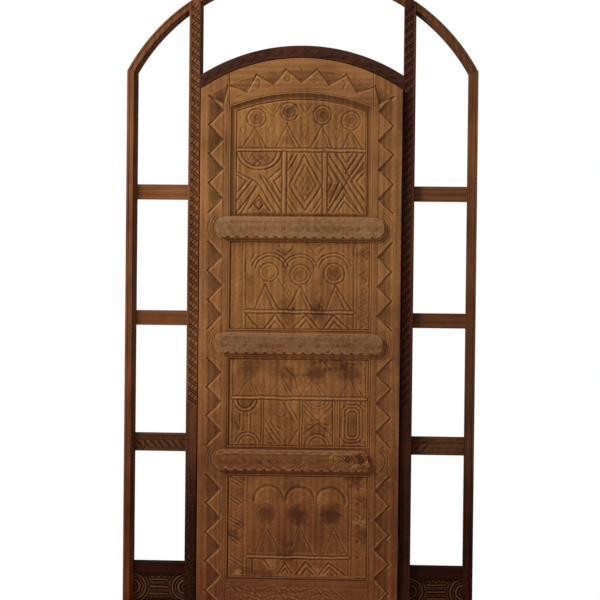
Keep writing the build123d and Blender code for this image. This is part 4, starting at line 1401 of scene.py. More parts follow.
@dataclass
class CellPanel(CarvedPanel):
    """Third panel: four worn figures over a bar, and four cells below it."""

    node: str = "panel_3"
    seed: int = 23
    dirt: tuple[float, float, float, float] = (0.8, 0.6, 0.9, 0.3)

    def carve(self) -> None:
        """Cut the pattern of the panel."""
        chisel, worn = self.chisel, 0.0018
        for centre in ((135, 865), (345, 870), (625, 855), (860, 860)):
            chisel.hollow(centre, 105, worn)
            self.head(centre, 62, worn)
        for apex, left, right in (((145, 795), 68, 222), ((375, 795), 290, 462), ((602, 775), 520, 700),
                                  ((880, 785), 800, 958)):
            self.skirt(apex, left, right, 585, 0.0022)
        chisel.lines(((398, 900), (470, 800), (495, 660)), ((668, 990), (735, 880)), ((930, 985), (982, 880)),
                     ((250, 780), (262, 660)), ((515, 780), (545, 680)), depth=0.0020)
        chisel.bar((26, 549), (982, 549), 0.0150)
        for across in (26, 982):
            chisel.line((across, 0), (across, 1000), width=0.006, depth=0.0026)
        for across in (241, 520, 757, 790):
            chisel.bar((across, 0), (across, 525), 0.009, 0.0010)
        self.columns()
        self.slants()
        self.cross()
        self.oval()
        chisel.line((26, 4), (982, 4), depth=0.0024)
        chisel.smudge((135, 865, 60, 0.22), (345, 870, 55, 0.18), (625, 855, 65, 0.34), (860, 860, 65, 0.30),
                      (440, 830, 50, 0.32), (430, 690, 35, 0.22), (760, 970, 70, 0.26), (130, 460, 65, 0.26),
                      (636, 190, 65, 0.26), (50, 270, 40, 0.28), (895, 45, 65, 0.22), (537, 660, 30, -0.35),
                      (944, 690, 30, -0.25), (450, 450, 30, -0.30), (660, 360, 30, -0.40),
                      (30, 900, 30, -0.40), (888, 260, 30, 0.18))

    def columns(self) -> None:
        """First cell: a hanging half round, three staves and an arch."""
        chisel = self.chisel
        for radius in (84, 55):
            chisel.bow((118, 525), radius, 90.0, 270.0)
        for across in (80, 108, 136, 160):
            chisel.line((across, 175), (across, 375), width=0.006, depth=0.0026)
        for radius in (92, 68):
            chisel.bow((135, 0), radius, -78.0, 78.0)
        chisel.line((46, 270), (75, 185), depth=0.0022)

    def slants(self) -> None:
        """Second cell: pairs of slanting bands."""
        self.chisel.lines(((402, 500), (476, 270)), ((432, 490), (502, 290)), ((385, 520), (455, 300)),
                          ((268, 275), (385, 10)), ((300, 275), (410, 20)), ((265, 200), (340, 15)),
                          ((335, 370), (372, 318), (402, 350)), ((430, 15), (500, 190)),
                          ((345, 230), (390, 180)), ((280, 25), (335, 25)), depth=0.0028)

    def cross(self) -> None:
        """Third cell: crossed bands between two half rounds."""
        self.chisel.lines(((530, 470), (640, 290), (745, 470)), ((540, 395), (605, 290)),
                          ((530, 130), (640, 260), (748, 120)), ((560, 250), (720, 250)), depth=0.0024)
        for radius in (88, 62):
            self.chisel.bow((638, 0), radius, -82.0, 82.0, depth=0.0024)
            self.chisel.bow((638, 525), radius * 0.95, 98.0, 262.0, depth=0.0022, squash=0.7)

    def oval(self) -> None:
        """Fourth cell: a long eight-sided ring within another."""
        for half, low, high in ((78, 45, 480), (52, 80, 445), (30, 120, 405)):
            left, right, fall = 888 - half, 888 + half, half * 0.75
            run = fall * 0.6
            self.chisel.line((left, low + fall), (left, high - fall), (left + run, high), (right - run, high),
                             (right, high - fall), (right, low + fall), (right - run, low), (left + run, low),
                             closed=True, depth=0.0026)
        self.chisel.lines(((915, 500), (968, 430)), ((945, 510), (975, 465)))


@dataclass
class FootPanel(CarvedPanel):
    """Lowest panel: three figures under broad arches, with slanting gouges at the left."""

    node: str = "panel_4"
    seed: int = 24
    # Painted highlight along the foot of the moulding, painted shade on its other sides
    dirt: tuple[float, float, float, float] = (-1.8, 0.9, 1.0, 0.8)

    def carve(self) -> None:
        """Cut the pattern of the panel."""
        chisel = self.chisel
        for across in (113, 140, 868, 890):
            chisel.line((across, 20), (across, 985), width=0.006, depth=0.0026)
        for centre in ((272, 625), (507, 616), (745, 621)):
            chisel.hollow(centre, 105, 0.0046)
            chisel.ring(centre, 68, width=0.014, depth=0.0026)
        for centre in ((290, 755), (515, 745), (735, 740)):
            chisel.bow(centre, 105, -92.0, 92.0, width=0.019, depth=0.0030, squash=1.05)
        for apex, left, right in (((272, 520), 198, 386), ((515, 515), 440, 614), ((760, 490), 690, 862)):
            corners = (apex, (left, 222), (right, 222))
            chisel.lower([chisel.patch.at(*corner) for corner in corners], 0.0017, 0.014)
            self.skirt(apex, left, right, 222, 0.0026)
        chisel.bar((140, 199), (870, 199), 0.0140)
        chisel.lines(((180, 165), (180, 50)), ((262, 178), (303, 92)), ((370, 40), (414, 140), (462, 40)),
                     ((392, 40), (414, 90), (440, 40)), ((497, 35), (566, 158), (655, 26)),
                     ((540, 35), (570, 100), (615, 35)), ((655, 26), (730, 150), (850, 30)),
                     ((690, 40), (735, 105), (790, 40)))
        for up in (950, 760, 560, 370, 170):
            chisel.lines(((18, up + 35), (105, up - 35)), ((18, up), (80, up - 50)), width=0.009,
                         depth=0.0034)
            chisel.line((30, up - 125), (100, up - 80), width=0.006, depth=0.0018)
        for up in (880, 730, 600, 520, 360, 210):
            chisel.hollow((935, up), 20, 0.0036)
            chisel.line((905, up + 70), (965, up + 20), depth=0.0018)
            chisel.gouges((935, up), 45, 6, 0.0016)
        # Dark spots: darker heads, and painted shade under the arches and beside the figures; pale spots:
        # flaked wood and painted highlights
        chisel.smudge((272, 625, 60, 0.16), (507, 616, 62, 0.30), (745, 621, 65, 0.38), (455, 890, 70, 0.22),
                      (770, 880, 60, 0.18), (36, 420, 45, 0.34), (90, 510, 30, 0.26), (420, 220, 50, 0.34),
                      (425, 340, 40, 0.20), (920, 990, 55, 0.36), (980, 420, 40, 0.34), (980, 750, 40, 0.28),
                      (157, 40, 60, 0.22), (290, 25, 45, 0.22), (313, 123, 40, -0.40), (72, 33, 22, -0.60),
                      (675, 762, 50, -0.30), (506, 795, 45, -0.25), (940, 560, 30, -0.50),
                      (660, 75, 40, -0.30), (272, 760, 50, -0.20))


@dataclass
class Moulding:
    """Moulding round a panel, swept along the panel's edge with mitred corners."""

    panel: CarvedPanel
    steps: int = 40
    crease: float = 38.0

    def build(self) -> None:
        """Sweep the moulding and dress it."""
        node = self.panel.node + "_moulding"
        shares, depths, dirt = zip(*self.panel.profile)
        rings = [np.insert(self.outline(share), 1, depth, axis=1) for share, depth in zip(shares, depths)]
        # Painted shade and dirt where the value is above zero, painted highlight and wear where it is below,
        # scaled for each side of the panel
        soil = np.outer(dirt, np.repeat(self.panel.dirt, self.steps)).ravel()
        index = np.arange(len(soil)).reshape(len(rings), -1)
        following, beside = np.roll(index, -1, 0), np.roll(index, -1, 1)
        quads = np.stack([index, beside, np.roll(following, -1, 1), following], -1).reshape(-1, 4)
        mesh = make_mesh("swept_" + node, np.concatenate(rings), quads,
                         values={CAVITY: np.maximum(soil, 0.0), WEAR_AND_HIGHLIGHT: np.maximum(-soil, 0.0)})
        mesh.set_sharp_from_angle(angle=math.radians(self.crease))
        dress(add_object("swept_" + node, mesh), MOULDING_FINISH, Body.LEAF, node)

    def outline(self, share: float) -> Array:
        """Panel edge moved in by a share of the moulding's width.

        Args:
            share: Share of the width.

        Returns:
            Points from the left foot against the clock.
        """
        limits, inset = self.panel.opening, share * self.panel.margin
        half, foot = limits.high.x - inset, limits.low.z + share * self.panel.foot_margin
        top = self.panel.top(-inset)
        across = np.linspace(-half, half, self.steps + 1)
        up = np.linspace(foot, float(top(np.array([half]))[0]), self.steps + 1)
        return np.concatenate([np.column_stack([across[:-1], np.full(self.steps, foot)]),
                               np.column_stack([np.full(self.steps, half), up[:-1]]),
                               np.column_stack([across[:0:-1], top(across[:0:-1])]),
                               np.column_stack([np.full(self.steps, -half), up[:0:-1]])])


def add_block(shape: bmesh.types.BMesh, low: Sequence[float], high: Sequence[float]) -> None:
    """Add a block between two corners to a mesh.

    Args:
        shape: Mesh to add to.
        low: Lowest corner of the block.
        high: Highest corner of the block.
    """
    low, high = Vector(low), Vector(high)
    place = Matrix.Translation((low + high) / 2) @ Matrix.Diagonal((*(high - low), 1.0))
    bmesh.ops.create_cube(shape, size=1.0, matrix=place)


def solid_object(name: str, shape: bmesh.types.BMesh) -> bpy.types.Object:
    """Turn an edit mesh into an object.

    Args:
        name: Name of the object.
        shape: Edit mesh, freed here.

    Returns:
        The object.
    """
    mesh = bpy.data.meshes.new(name)
    shape.to_mesh(mesh)
    shape.free()
    return add_object(name, mesh)


@dataclass
class HingeHousing:
    """Space that the hinges take in the edge of the leaf and in the jamb."""

    clearance: float = 0.001
    knuckle: float = 0.0065
    overshoot: float = 0.02
    segments: int = 24

    def leaf_cutters(self) -> tuple[bpy.types.Object, bpy.types.Object]:
        """Knuckles and plates of the three leaf flaps, as two closed objects.

        Returns:
            The cutter of the knuckles and the cutter of the plates.
        """
        rounds, plates = bmesh.new(), bmesh.new()
        radius = self.knuckle + self.clearance
        for name in HINGES:
            flap, pin = Box.of("hinge_leaf_flap_" + name), Box.of("hinge_pin_" + name)
            centre = (pin.low + pin.high) / 2
            bmesh.ops.create_cone(rounds, cap_ends=True, segments=self.segments, radius1=radius,
                                  radius2=radius, depth=pin.length(Z) + 2 * self.clearance,
                                  matrix=Matrix.Translation(centre))
            add_block(plates, (flap.low.x, centre.y, flap.low.z),
                      (flap.high.x + self.overshoot, flap.high.y, flap.high.z))
        return solid_object("leaf_knuckle_housing", rounds), solid_object("leaf_plate_housing", plates)

    def jamb_cutter(self) -> bpy.types.Object:
        """Plates of the three frame flaps, as one closed object.

        Returns:
            The cutter.
        """
        shape = bmesh.new()
        for name in HINGES:
            flap, pin = Box.of("hinge_frame_flap_" + name), Box.of("hinge_pin_" + name)
            centre = (pin.low + pin.high) / 2
            add_block(shape, (centre.x - self.overshoot, centre.y - self.knuckle, flap.low.z), flap.high)
        return solid_object("jamb_hinge_housing", shape)


@dataclass
class ZigzagPiece:
    """Piece of the leaf with a band of chip-carved triangles."""

    sizes: LeafSizes
    chip_depth: float = 0.0068
    line_width: float = 0.0092
    line_depth: float = 0.0052
    chisel: Chisel = field(init=False)

    def tooth(self, *corners: Point) -> None:
        """Chip one triangle out of the band and cut a line along its two sides."""
        self.chisel.chip(*corners, self.chip_depth)
        self.chisel.stroke(corners, self.line_width, self.line_depth)

    def mark(self, x: float, z: float, turn: int) -> None:
        """Small mark in a triangle: a ring, three short cuts or a dash, by turns.

        Args:
            x: Place across.
            z: Height.
            turn: Number of the triangle.
        """
        if turn % 3 == 0:
            self.chisel.ring((x, z), 0.0100, width=0.0072, depth=0.0032)
            self.chisel.hollow((x, z), 0.0045, 0.0026)
        elif turn % 3 == 1:
            for rise in (-0.013, 0.0, 0.013):
                self.chisel.stroke([(x - 0.010, z + rise), (x + 0.009, z + rise * 0.4)], 0.0068, 0.0030)
        else:
            dash = [(x - 0.004, z - 0.018), (x + 0.003, z), (x - 0.004, z + 0.018)]
            self.chisel.stroke(dash, 0.0072, 0.0032)


@dataclass
class Stile(ZigzagPiece):
    """Upright of the leaf with its zigzag of triangles and the rounds about the batten ends."""

    side: Side = Side.LEFT
    batten_clear: float = 0.045
    mark_share: float = 0.38
    rounds: Sequence[Point] = ((0.056, 0.00276), (0.066, 0.00207), (0.077, 0.00161))
    round_width: float = 0.0088
    end_darkness: tuple[float, ...] = (0.10, 0.12, 0.19)

    def build(self) -> None:
        """Carve the stile, let in the hinges and dress it."""
        board = CarvedBoard.on("stile_" + self.side.label, Body.LEAF, STILE_FINISH,
                               high=self.sizes.crown.height, seed=40 + self.side.value, patch=METRES)
        self.chisel = board.chisel
        self.zigzag()
        self.batten_rounds()
        self.tones()
        board.build(*(HingeHousing().leaf_cutters() if self.side is Side.RIGHT else ()))

    def zigzag(self) -> None:
        """Cut the zigzag line, its border lines and the marks in its triangles."""
        sizes, sign, pitch = self.sizes, self.side.value, self.sizes.zigzag_pitch
        far = sizes.half - sizes.zigzag_margin
        near, border = far - sizes.zigzag_width, sign * (far + 0.004)
        level = float(sizes.crown.grown(-sizes.arch_margin).height(far))
        self.chisel.stroke([(sign * near, sizes.bottom), (sign * near, level + 0.02)], 0.006, 0.0022)
        self.chisel.stroke([(border, sizes.bottom), (border, level)], 0.005, 0.0010)
        apex = float(sizes.crown.grown(-sizes.arch_margin - sizes.arch_zigzag).height(near))
        self.tooth(sizes.crown.polar(sign * 2.5 * sizes.arch_step, sizes.arch_margin), (sign * near, apex),
                   (sign * far, level))
        for turn in range(int((level - sizes.bottom) / pitch)):
            middle = level - pitch / 2
            if min(abs(middle - batten) for batten in sizes.levels) > self.batten_clear:
                self.tooth((sign * far, level), (sign * near, middle), (sign * far, level - pitch))
                self.mark(sign * (far + (near - far) * self.mark_share), middle, turn)
            level -= pitch

    def batten_rounds(self) -> None:
        """Cut rounds about the batten ends."""
        batten, sign = Box.of("batten_1"), self.side.value
        reach = batten.high.x - batten.length(Z) / 2
        start, end = sorted((sign * 35.0, sign * 160.0))
        for level in self.sizes.levels:
            for radius, depth in self.rounds:
                self.chisel.bow((sign * reach, level), radius, start, end, self.round_width, depth)

    def tones(self) -> None:
        """Darken the wood about the batten ends, the left stile's top and the right one's outer edge.

        The outer edge of the left stile is lightened as a painted highlight.
        """
        chisel, half = self.chisel, self.sizes.half
        for level, darkness in zip(self.sizes.levels, self.end_darkness):
            chisel.smudge((self.side.value * (half - 0.045), level - 0.02, 0.075, darkness))
        if self.side is Side.LEFT:
            chisel.stain += 0.26 * smooth_step((chisel.z - 1.72) / 0.3 + 0.4 * chisel.drift)
            # Painted highlight along the outer edge of the left stile
            edge = smooth_step((chisel.z - 0.75) / 0.5) * smooth_step((chisel.x + half - 0.034) / -0.008)
            chisel.stain -= 0.40 * edge
        else:
            chisel.stain += 0.16 * smooth_step((half - 0.03 - chisel.x) / -0.012)


@dataclass
class TopRail(ZigzagPiece):
    """Arched rail with the zigzag that follows the leaf's top."""

    chip_depth: float = 0.0064
    border: float = 0.004

    def build(self) -> None:
        """Carve the rail and dress it."""
        sizes, crown = self.sizes, self.sizes.crown
        margin, step = sizes.arch_margin, sizes.arch_step
        board = CarvedBoard.on("top_rail", Body.LEAF, RAIL_FINISH, left=-sizes.stile_inner,
                               right=sizes.stile_inner, low=sizes.opening.height, high=crown.height,
                               front=sizes.front, back=sizes.back, cell=0.0024, seed=31, patch=METRES)
        self.chisel = board.chisel
        deep = margin + sizes.arch_zigzag
        for place in (-2, -1, 0, 1, 2):
            self.tooth(crown.polar((place - 0.5) * step, margin), crown.polar(place * step, deep),
                       crown.polar((place + 0.5) * step, margin))
            self.mark(*crown.polar(place * step, margin + 0.019), place + 2)
        for place in (-1.5, -0.5, 0.5, 1.5):
            self.mark(*crown.polar(place * step, deep - 0.016), int(place + 3.5))
        centre = (0.0, crown.centre)
        self.chisel.ring(centre, crown.radius - margin + self.border, width=0.005, depth=0.0012)
        self.chisel.ring(centre, crown.radius - deep - self.border, width=0.005, depth=0.0016)
        board.build()


@dataclass
class BottomRail:
    """Lowest rail with waves and slanting cuts, laid out in shares of its face."""

    sizes: LeafSizes
    slant: float = 0.24
    wave_step: float = 0.040
    wave_height: float = 0.06

    def build(self) -> None:
        """Carve the rail and dress it."""
        inner = self.sizes.stile_inner
        board = CarvedBoard.on("bottom_rail", Body.LEAF, RAIL_FINISH, left=-inner, right=inner, cell=0.003,
                               seed=32)
        chisel = board.chisel
        chisel.line((0.0, 0.845), (1.0, 0.845), width=0.006, depth=0.0022)
        for start in (0.05, 0.16, 0.33, 0.44, 0.62, 0.73):
            for shift, width, depth in ((0.0, 0.011, 0.0022), (0.035, 0.007, 0.0015)):
                across = start + shift
                chisel.line((across, 0.83), (across + self.slant, 0.12), width=width, depth=depth)
        for low in (0.22, 0.36, 0.50, 0.64, 0.76):
            wave = [(0.02 + self.wave_step * k, low + self.wave_height * math.sin(k * 0.9 + 9.0 * low))
                    for k in range(20)]
            chisel.line(*wave, width=0.008, depth=0.0020)
        for across in (0.30, 0.55, 0.62, 0.90):
            chisel.line((across, 0.20), (across + 0.06, 0.66), width=0.007, depth=0.0022)
        board.build()


@dataclass
class Batten:
    """Weathered batten with round ends, a notched foot and rosettes, carved in shares of its face."""

    number: int
    notch_pitch: float = 0.040
    notch_width: float = 0.022
    notch_rise: float = 0.009
    rosette_pitch: float = 0.077
    rosette_ring: float = 0.0165
    rosettes_end: float = 0.90
    face_inset: float = 0.002
    end_flat: float = 0.0006
    bite: float = 0.020
    bite_reach: float = 0.12
    loss: float = 0.049
    loss_reach: float = 0.16
    top_wear: float = 0.45
    foot_wear: float = 0.55
    node: str = field(init=False)
    finish: WoodFinish = field(init=False)
    level: float = field(init=False)
    radius: float = field(init=False)
    straight: float = field(init=False)
    end: float = field(init=False)
    face: float = field(init=False)

    def __post_init__(self) -> None:
        """Read the solid, and the reach of a whole batten from the first one."""
        self.node = f"batten_{self.number}"
        solid, reach = Box.of(self.node), Box.of("batten_1").high.x
        self.finish = LOW_BATTEN_FINISH if self.number == 3 else BATTEN_FINISH
        self.level = solid.middle(Z)
        self.radius = solid.length(Z) / 2
        self.straight = reach - self.radius
        self.end = reach - self.end_flat
        self.face = solid.low.y + self.face_inset

    def build(self) -> None:
        """Carve the batten and dress it."""
        broken = {2: self.bitten, 3: self.torn}
        patch = Patch(-self.end, self.level - self.radius, 2 * self.end, 2 * self.radius)
        board = CarvedBoard.on(self.node, Body.LEAF, self.finish, left=-self.end, right=self.end,
                               low=self.foot, high=self.top, front=self.face, cell=0.0024, ease=0.0042,
                               seed=50 + self.number, label="weathered_", bend=broken.get(self.number),
                               patch=patch)
        self.carve(board.chisel)
        self.weather(board.chisel)
        if self.number == 3:
            self.splinter(board.chisel)
        board.build()
        points = [(x, self.face, self.level) for x in self.rosettes()]
        RosetteRow(f"{self.node}_rosettes", self.finish).build(points)

    def half_height(self, x: Array) -> Array:
        """Half the batten's height at places across."""
        beyond = np.maximum(np.abs(x) - self.straight, 0.0)
        return np.sqrt(np.maximum(self.radius ** 2 - beyond ** 2, 0.0))

    def top(self, x: Array) -> Array:
        """Upper edge at places across."""
        return self.level + self.half_height(x)

    def foot(self, x: Array) -> Array:
        """Notched lower edge.

        Args:
            x: Places across.

        Returns:
            Heights of the edge.
        """
        last = self.notches() / 2
        shifted = x / self.notch_pitch + last
        away = np.abs(shifted - np.round(shifted)) * self.notch_pitch
        inside = np.abs(np.round(shifted) - last) <= last + 0.1
        rise = self.notch_rise * np.clip(1.0 - 2.0 * away / self.notch_width, 0.0, 1.0)
        return self.level - self.half_height(x) + np.where(inside, rise, 0.0)

    def notches(self) -> int:
        """Number of whole pitches between the first notch and the last."""
        return int(2 * self.straight / self.notch_pitch)

    def bitten(self, x: Array, z: Array) -> Array:
        """Pull in the points of a left end that has lost a bite.

        Args:
            x: Places across.
            z: Heights.

        Returns:
            The new places across.
        """
        up = (z - self.level + self.radius) / (2 * self.radius)
        depth = self.bite * smooth_step(1.0 - np.abs(up - 0.34) / 0.42)
        return x + depth * smooth_step(1.0 - (x + self.end) / self.bite_reach)

    def torn(self, x: Array, z: Array) -> Array:
        """Pull in the points of a right end that is torn off.

        Args:
            x: Places across.
            z: Heights.

        Returns:
            The new places across.
        """
        up = (z - self.level) / self.radius
        jag = 0.006 * np.sin(up * 3.1 + 0.6) + 0.003 * np.sin(up * 9.0)
        return x - (self.loss + jag) * smooth_step((x - self.end + self.loss_reach) / self.loss_reach)

    def rosettes(self) -> list[float]:
        """Places across of the rosettes that are left.

        Returns:
            One place for each.
        """
        last = round(2 * (self.end - self.radius) / self.rosette_pitch) / 2
        places = [step * self.rosette_pitch for step in np.arange(-last, last + 1)]
        limit = (self.rosettes_end - 0.5) * 2 * self.end
        return [x for x in places if self.number != 3 or x < limit]

    def carve(self, chisel: Chisel) -> None:
        """Cut the groove lines, the rings of the rosettes and the veins over the notches.

        Args:
            chisel: Chisel on the batten.
        """
        length, last = chisel.patch.across, self.notches() / 2
        chisel.line((0.06, 0.76), (0.94, 0.76), width=0.006, depth=0.0020)
        chisel.line((0.06, 0.70), (0.94, 0.70), width=0.005, depth=0.0012)
        for x in self.rosettes():
            chisel.ring((0.5 + x / length, 0.5), self.rosette_ring / length, width=0.006, depth=0.0011)
        half = self.notch_pitch * 0.36 / length
        for step in np.arange(-last, last + 1):
            across = 0.5 + step * self.notch_pitch / length
            vein = ((across - half, 0.05), (across, 0.27), (across + half, 0.05))
            chisel.line(*vein, width=0.006, depth=0.0007)

    def weather(self, chisel: Chisel) -> None:
        """Roughen the face, stain it in patches, rub its top pale and make the rim of its foot paler.

        Args:
            chisel: Chisel on the batten.
        """
        chisel.tooling *= 2.0
        up = (chisel.z - self.level + self.radius) / (2 * self.radius)
        over = chisel.z - self.foot(chisel.x)
        chisel.stain += 0.08 * smooth_step((0.66 - up) / 0.1) + 0.22 * np.maximum(chisel.drift, 0.0)
        chisel.stain -= self.top_wear * smooth_step((up - 0.74 + 0.1 * chisel.drift) / 0.06)
        chisel.stain -= self.foot_wear * smooth_step((0.013 + 0.004 * chisel.drift - over) / 0.006)

    def splinter(self, chisel: Chisel) -> None:
        """Darken and gouge the wood towards the torn end.

        Args:
            chisel: Chisel on the batten.
        """
        chisel.stain += 0.30 * smooth_step((chisel.x - 0.17) / 0.12 + chisel.drift)
        for across in (0.74, 0.81, 0.88, 0.94):
            chisel.gouges((across, 0.56), 0.042, 6, 0.0034)
        chisel.smudge((0.72, 0.60, 0.022, -0.45), (0.80, 0.62, 0.016, 0.50), (0.865, 0.70, 0.020, 0.55),
                      (0.84, 0.30, 0.018, -0.50), (0.91, 0.45, 0.018, -0.40), (0.94, 0.72, 0.020, 0.50))


# Pieces made by geometry nodes

class GeometryTree(NodeBuilder):
    """One geometry node tree, with named inputs and the values that it is run with."""

    # Sockets of a random value node that carry single numbers
    RANDOM_LIMITS = (2, 3)
    RANDOM_VALUE = 1

    def __init__(self, name: str) -> None:
        """Start a tree with a geometry socket on each side.

        Args:
            name: Name of the tree.
        """
        super().__init__(bpy.data.node_groups.new(name, "GeometryNodeTree"))
        for side in ("INPUT", "OUTPUT"):
            self.tree.interface.new_socket("Geometry", in_out=side, socket_type="NodeSocketGeometry")
        self.source, self.target = self.add("NodeGroupInput"), self.add("NodeGroupOutput")
        self.values: dict[str, object] = {}

    def size(self, name: str, value: object, kind: str = "NodeSocketFloat") -> Socket:
        """Add a named input.

        Args:
            name: Name of the input.
            value: Value that the tree is run with.
            kind: Type of its socket.

        Returns:
            The output of the input node that carries it.
        """
        item = self.tree.interface.new_socket(name, in_out="INPUT", socket_type=kind)
        self.values[item.identifier] = value
        return self.source.outputs[name]

    def chance(self, low: float, high: float, seed: int) -> Socket:
        """Chance value for each point.

        Args:
            low: Least value.
            high: Greatest value.
            seed: Seed, as a named input.

        Returns:
            The value.
        """
        node = self.add("FunctionNodeRandomValue", Seed=self.size("Seed", seed, "NodeSocketInt"))
        for place, limit in zip(self.RANDOM_LIMITS, (low, high)):
            node.inputs[place].default_value = limit
        return node.outputs[self.RANDOM_VALUE]

    def join(self, *parts: bpy.types.Node) -> Socket:
        """Join the geometries of several nodes.

        Args:
            parts: The nodes.

        Returns:
            The joined geometry.
        """
        node = self.add("GeometryNodeJoinGeometry")
        for part in parts:
            self.connect(node.inputs[0], part.outputs[0])
        return node.outputs[0]

    def run(self, piece: bpy.types.Object, result: bpy.types.Node, finish: Finish) -> None:
        """Run the tree on an object and keep the result as its own mesh.

        Args:
            piece: Object with the starting mesh.
            result: Last node of the tree.
            finish: Finish of the piece.
        """
        paint = self.size("Material", PAINTS.get(finish), "NodeSocketMaterial")
        real = self.add("GeometryNodeRealizeInstances", Geometry=result.outputs[0])
        painted = self.add("GeometryNodeSetMaterial", Geometry=real.outputs[0], Material=paint)
        self.connect(self.target.inputs[0], painted.outputs[0])
        modifier = piece.modifiers.new(self.tree.name, "NODES")
        modifier.node_group = self.tree
        for identifier, value in self.values.items():
            modifier[identifier] = value
        settle(piece)
        bpy.data.node_groups.remove(self.tree)


def point_object(name: str, points: Sequence[Sequence[float]]) -> bpy.types.Object:
    """Object of loose points.

    Args:
        name: Name of the object.
        points: The points.

    Returns:
        The object.
    """
    mesh = bpy.data.meshes.new(name)
    mesh.from_pydata(points, [], [])
    return add_object(name, mesh)


@dataclass
class RosetteRow:
    """Row of small turned rosettes on the leaf: a dome within a round bead."""

    name: str
    finish: WoodFinish
    radius: float = 0.0105
    bead: float = 0.0012
    dome: float = 0.0062
    dome_squash: float = 0.24
    least: float = 0.9
    most: float = 1.08
    seed: int = 7

    def build(self, points: Sequence[Sequence[float]]) -> None:
        """Make the row and dress it.

        Args:
            points: Place of each rosette.
        """
        tree = GeometryTree("rosette_row")
        radius, thickness = tree.size("Radius", self.radius), tree.size("Bead", self.bead)
        path = tree.add("GeometryNodeCurvePrimitiveCircle", Resolution=26, Radius=radius)
        section = tree.add("GeometryNodeCurvePrimitiveCircle", Resolution=8, Radius=thickness)
        bead = tree.add("GeometryNodeCurveToMesh", Curve=path.outputs[0], Profile_Curve=section.outputs[0])
        ball = tree.add("GeometryNodeMeshUVSphere", Segments=20, Rings=10,
                        Radius=tree.size("Dome", self.dome))
        dome = tree.add("GeometryNodeTransform", Geometry=ball.outputs[0], Scale=(1.0, 1.0, self.dome_squash))
        upright = tree.add("GeometryNodeTransform", Geometry=tree.join(bead, dome),
                           Rotation=(math.pi / 2, 0.0, 0.0))
        row = tree.add("GeometryNodeInstanceOnPoints", Points=tree.source.outputs[0],
                       Instance=upright.outputs[0], Scale=tree.chance(self.least, self.most, self.seed))
        piece = point_object(self.name, points)
        tree.run(piece, row, self.finish)
        dress(piece, self.finish, Body.LEAF)


@dataclass
class ScrewRow:
    """Slotted countersunk screws that all face one way."""

    node: str
    body: Body
    turn: tuple[float, float, float]
    head: float = 0.004
    shank: float = 0.002
    sunk: float = 0.0025
    slot_width: float = 0.0009
    seed: int = 11

    def build(self, points: Sequence[Sequence[float]], length: float) -> None:
        """Make the screws and dress them.

        Args:
            points: Middle of each head's flat face.
            length: Length of a screw.
        """
        tree = GeometryTree("screw_row")
        head, shank = tree.size("Head", self.head), tree.size("Shank", self.shank)
        sunk, reach = tree.size("Sunk", self.sunk), tree.size("Length", length - self.sunk)
        cone = tree.add("GeometryNodeMeshCone", Vertices=24, Radius_Top=shank, Radius_Bottom=head, Depth=sunk)
        size = tree.add("ShaderNodeCombineXYZ", X=tree.math("MULTIPLY", head, 3.0),
                        Y=tree.size("Slot Width", self.slot_width), Z=tree.math("MULTIPLY", sunk, 0.8))
        slot = tree.add("GeometryNodeMeshCube", Size=size.outputs[0])
        slotted = tree.add("GeometryNodeMeshBoolean")
        slotted.operation = "DIFFERENCE"
        tree.feed(slotted, Mesh_1=cone.outputs[0], Mesh_2=slot.outputs[0])
        rod = tree.add("GeometryNodeMeshCylinder", Vertices=16, Radius=shank, Depth=reach)
        middle = tree.add("ShaderNodeCombineXYZ", Z=tree.math("ADD", tree.math("MULTIPLY", reach, 0.5), sunk))
        shaft = tree.add("GeometryNodeTransform", Geometry=rod.outputs[0], Translation=middle.outputs[0])
        own = tree.add("ShaderNodeCombineXYZ", Z=tree.chance(0.0, math.pi, self.seed))
        spin = tree.add("FunctionNodeEulerToRotation", Euler=own.outputs[0])
        turn = tree.size("Turn", self.turn, "NodeSocketRotation")
        turned = tree.add("FunctionNodeRotateRotation", Rotation=turn, Rotate_By=spin.outputs[0])
        turned.rotation_space = "LOCAL"
        row = tree.add("GeometryNodeInstanceOnPoints", Points=tree.source.outputs[0],
                       Instance=tree.join(slotted, shaft), Rotation=turned.outputs[0])
        piece = point_object("slotted_" + self.node, points)
        tree.run(piece, row, IRON_FINISH)
        dress(piece, IRON_FINISH, self.body, self.node)


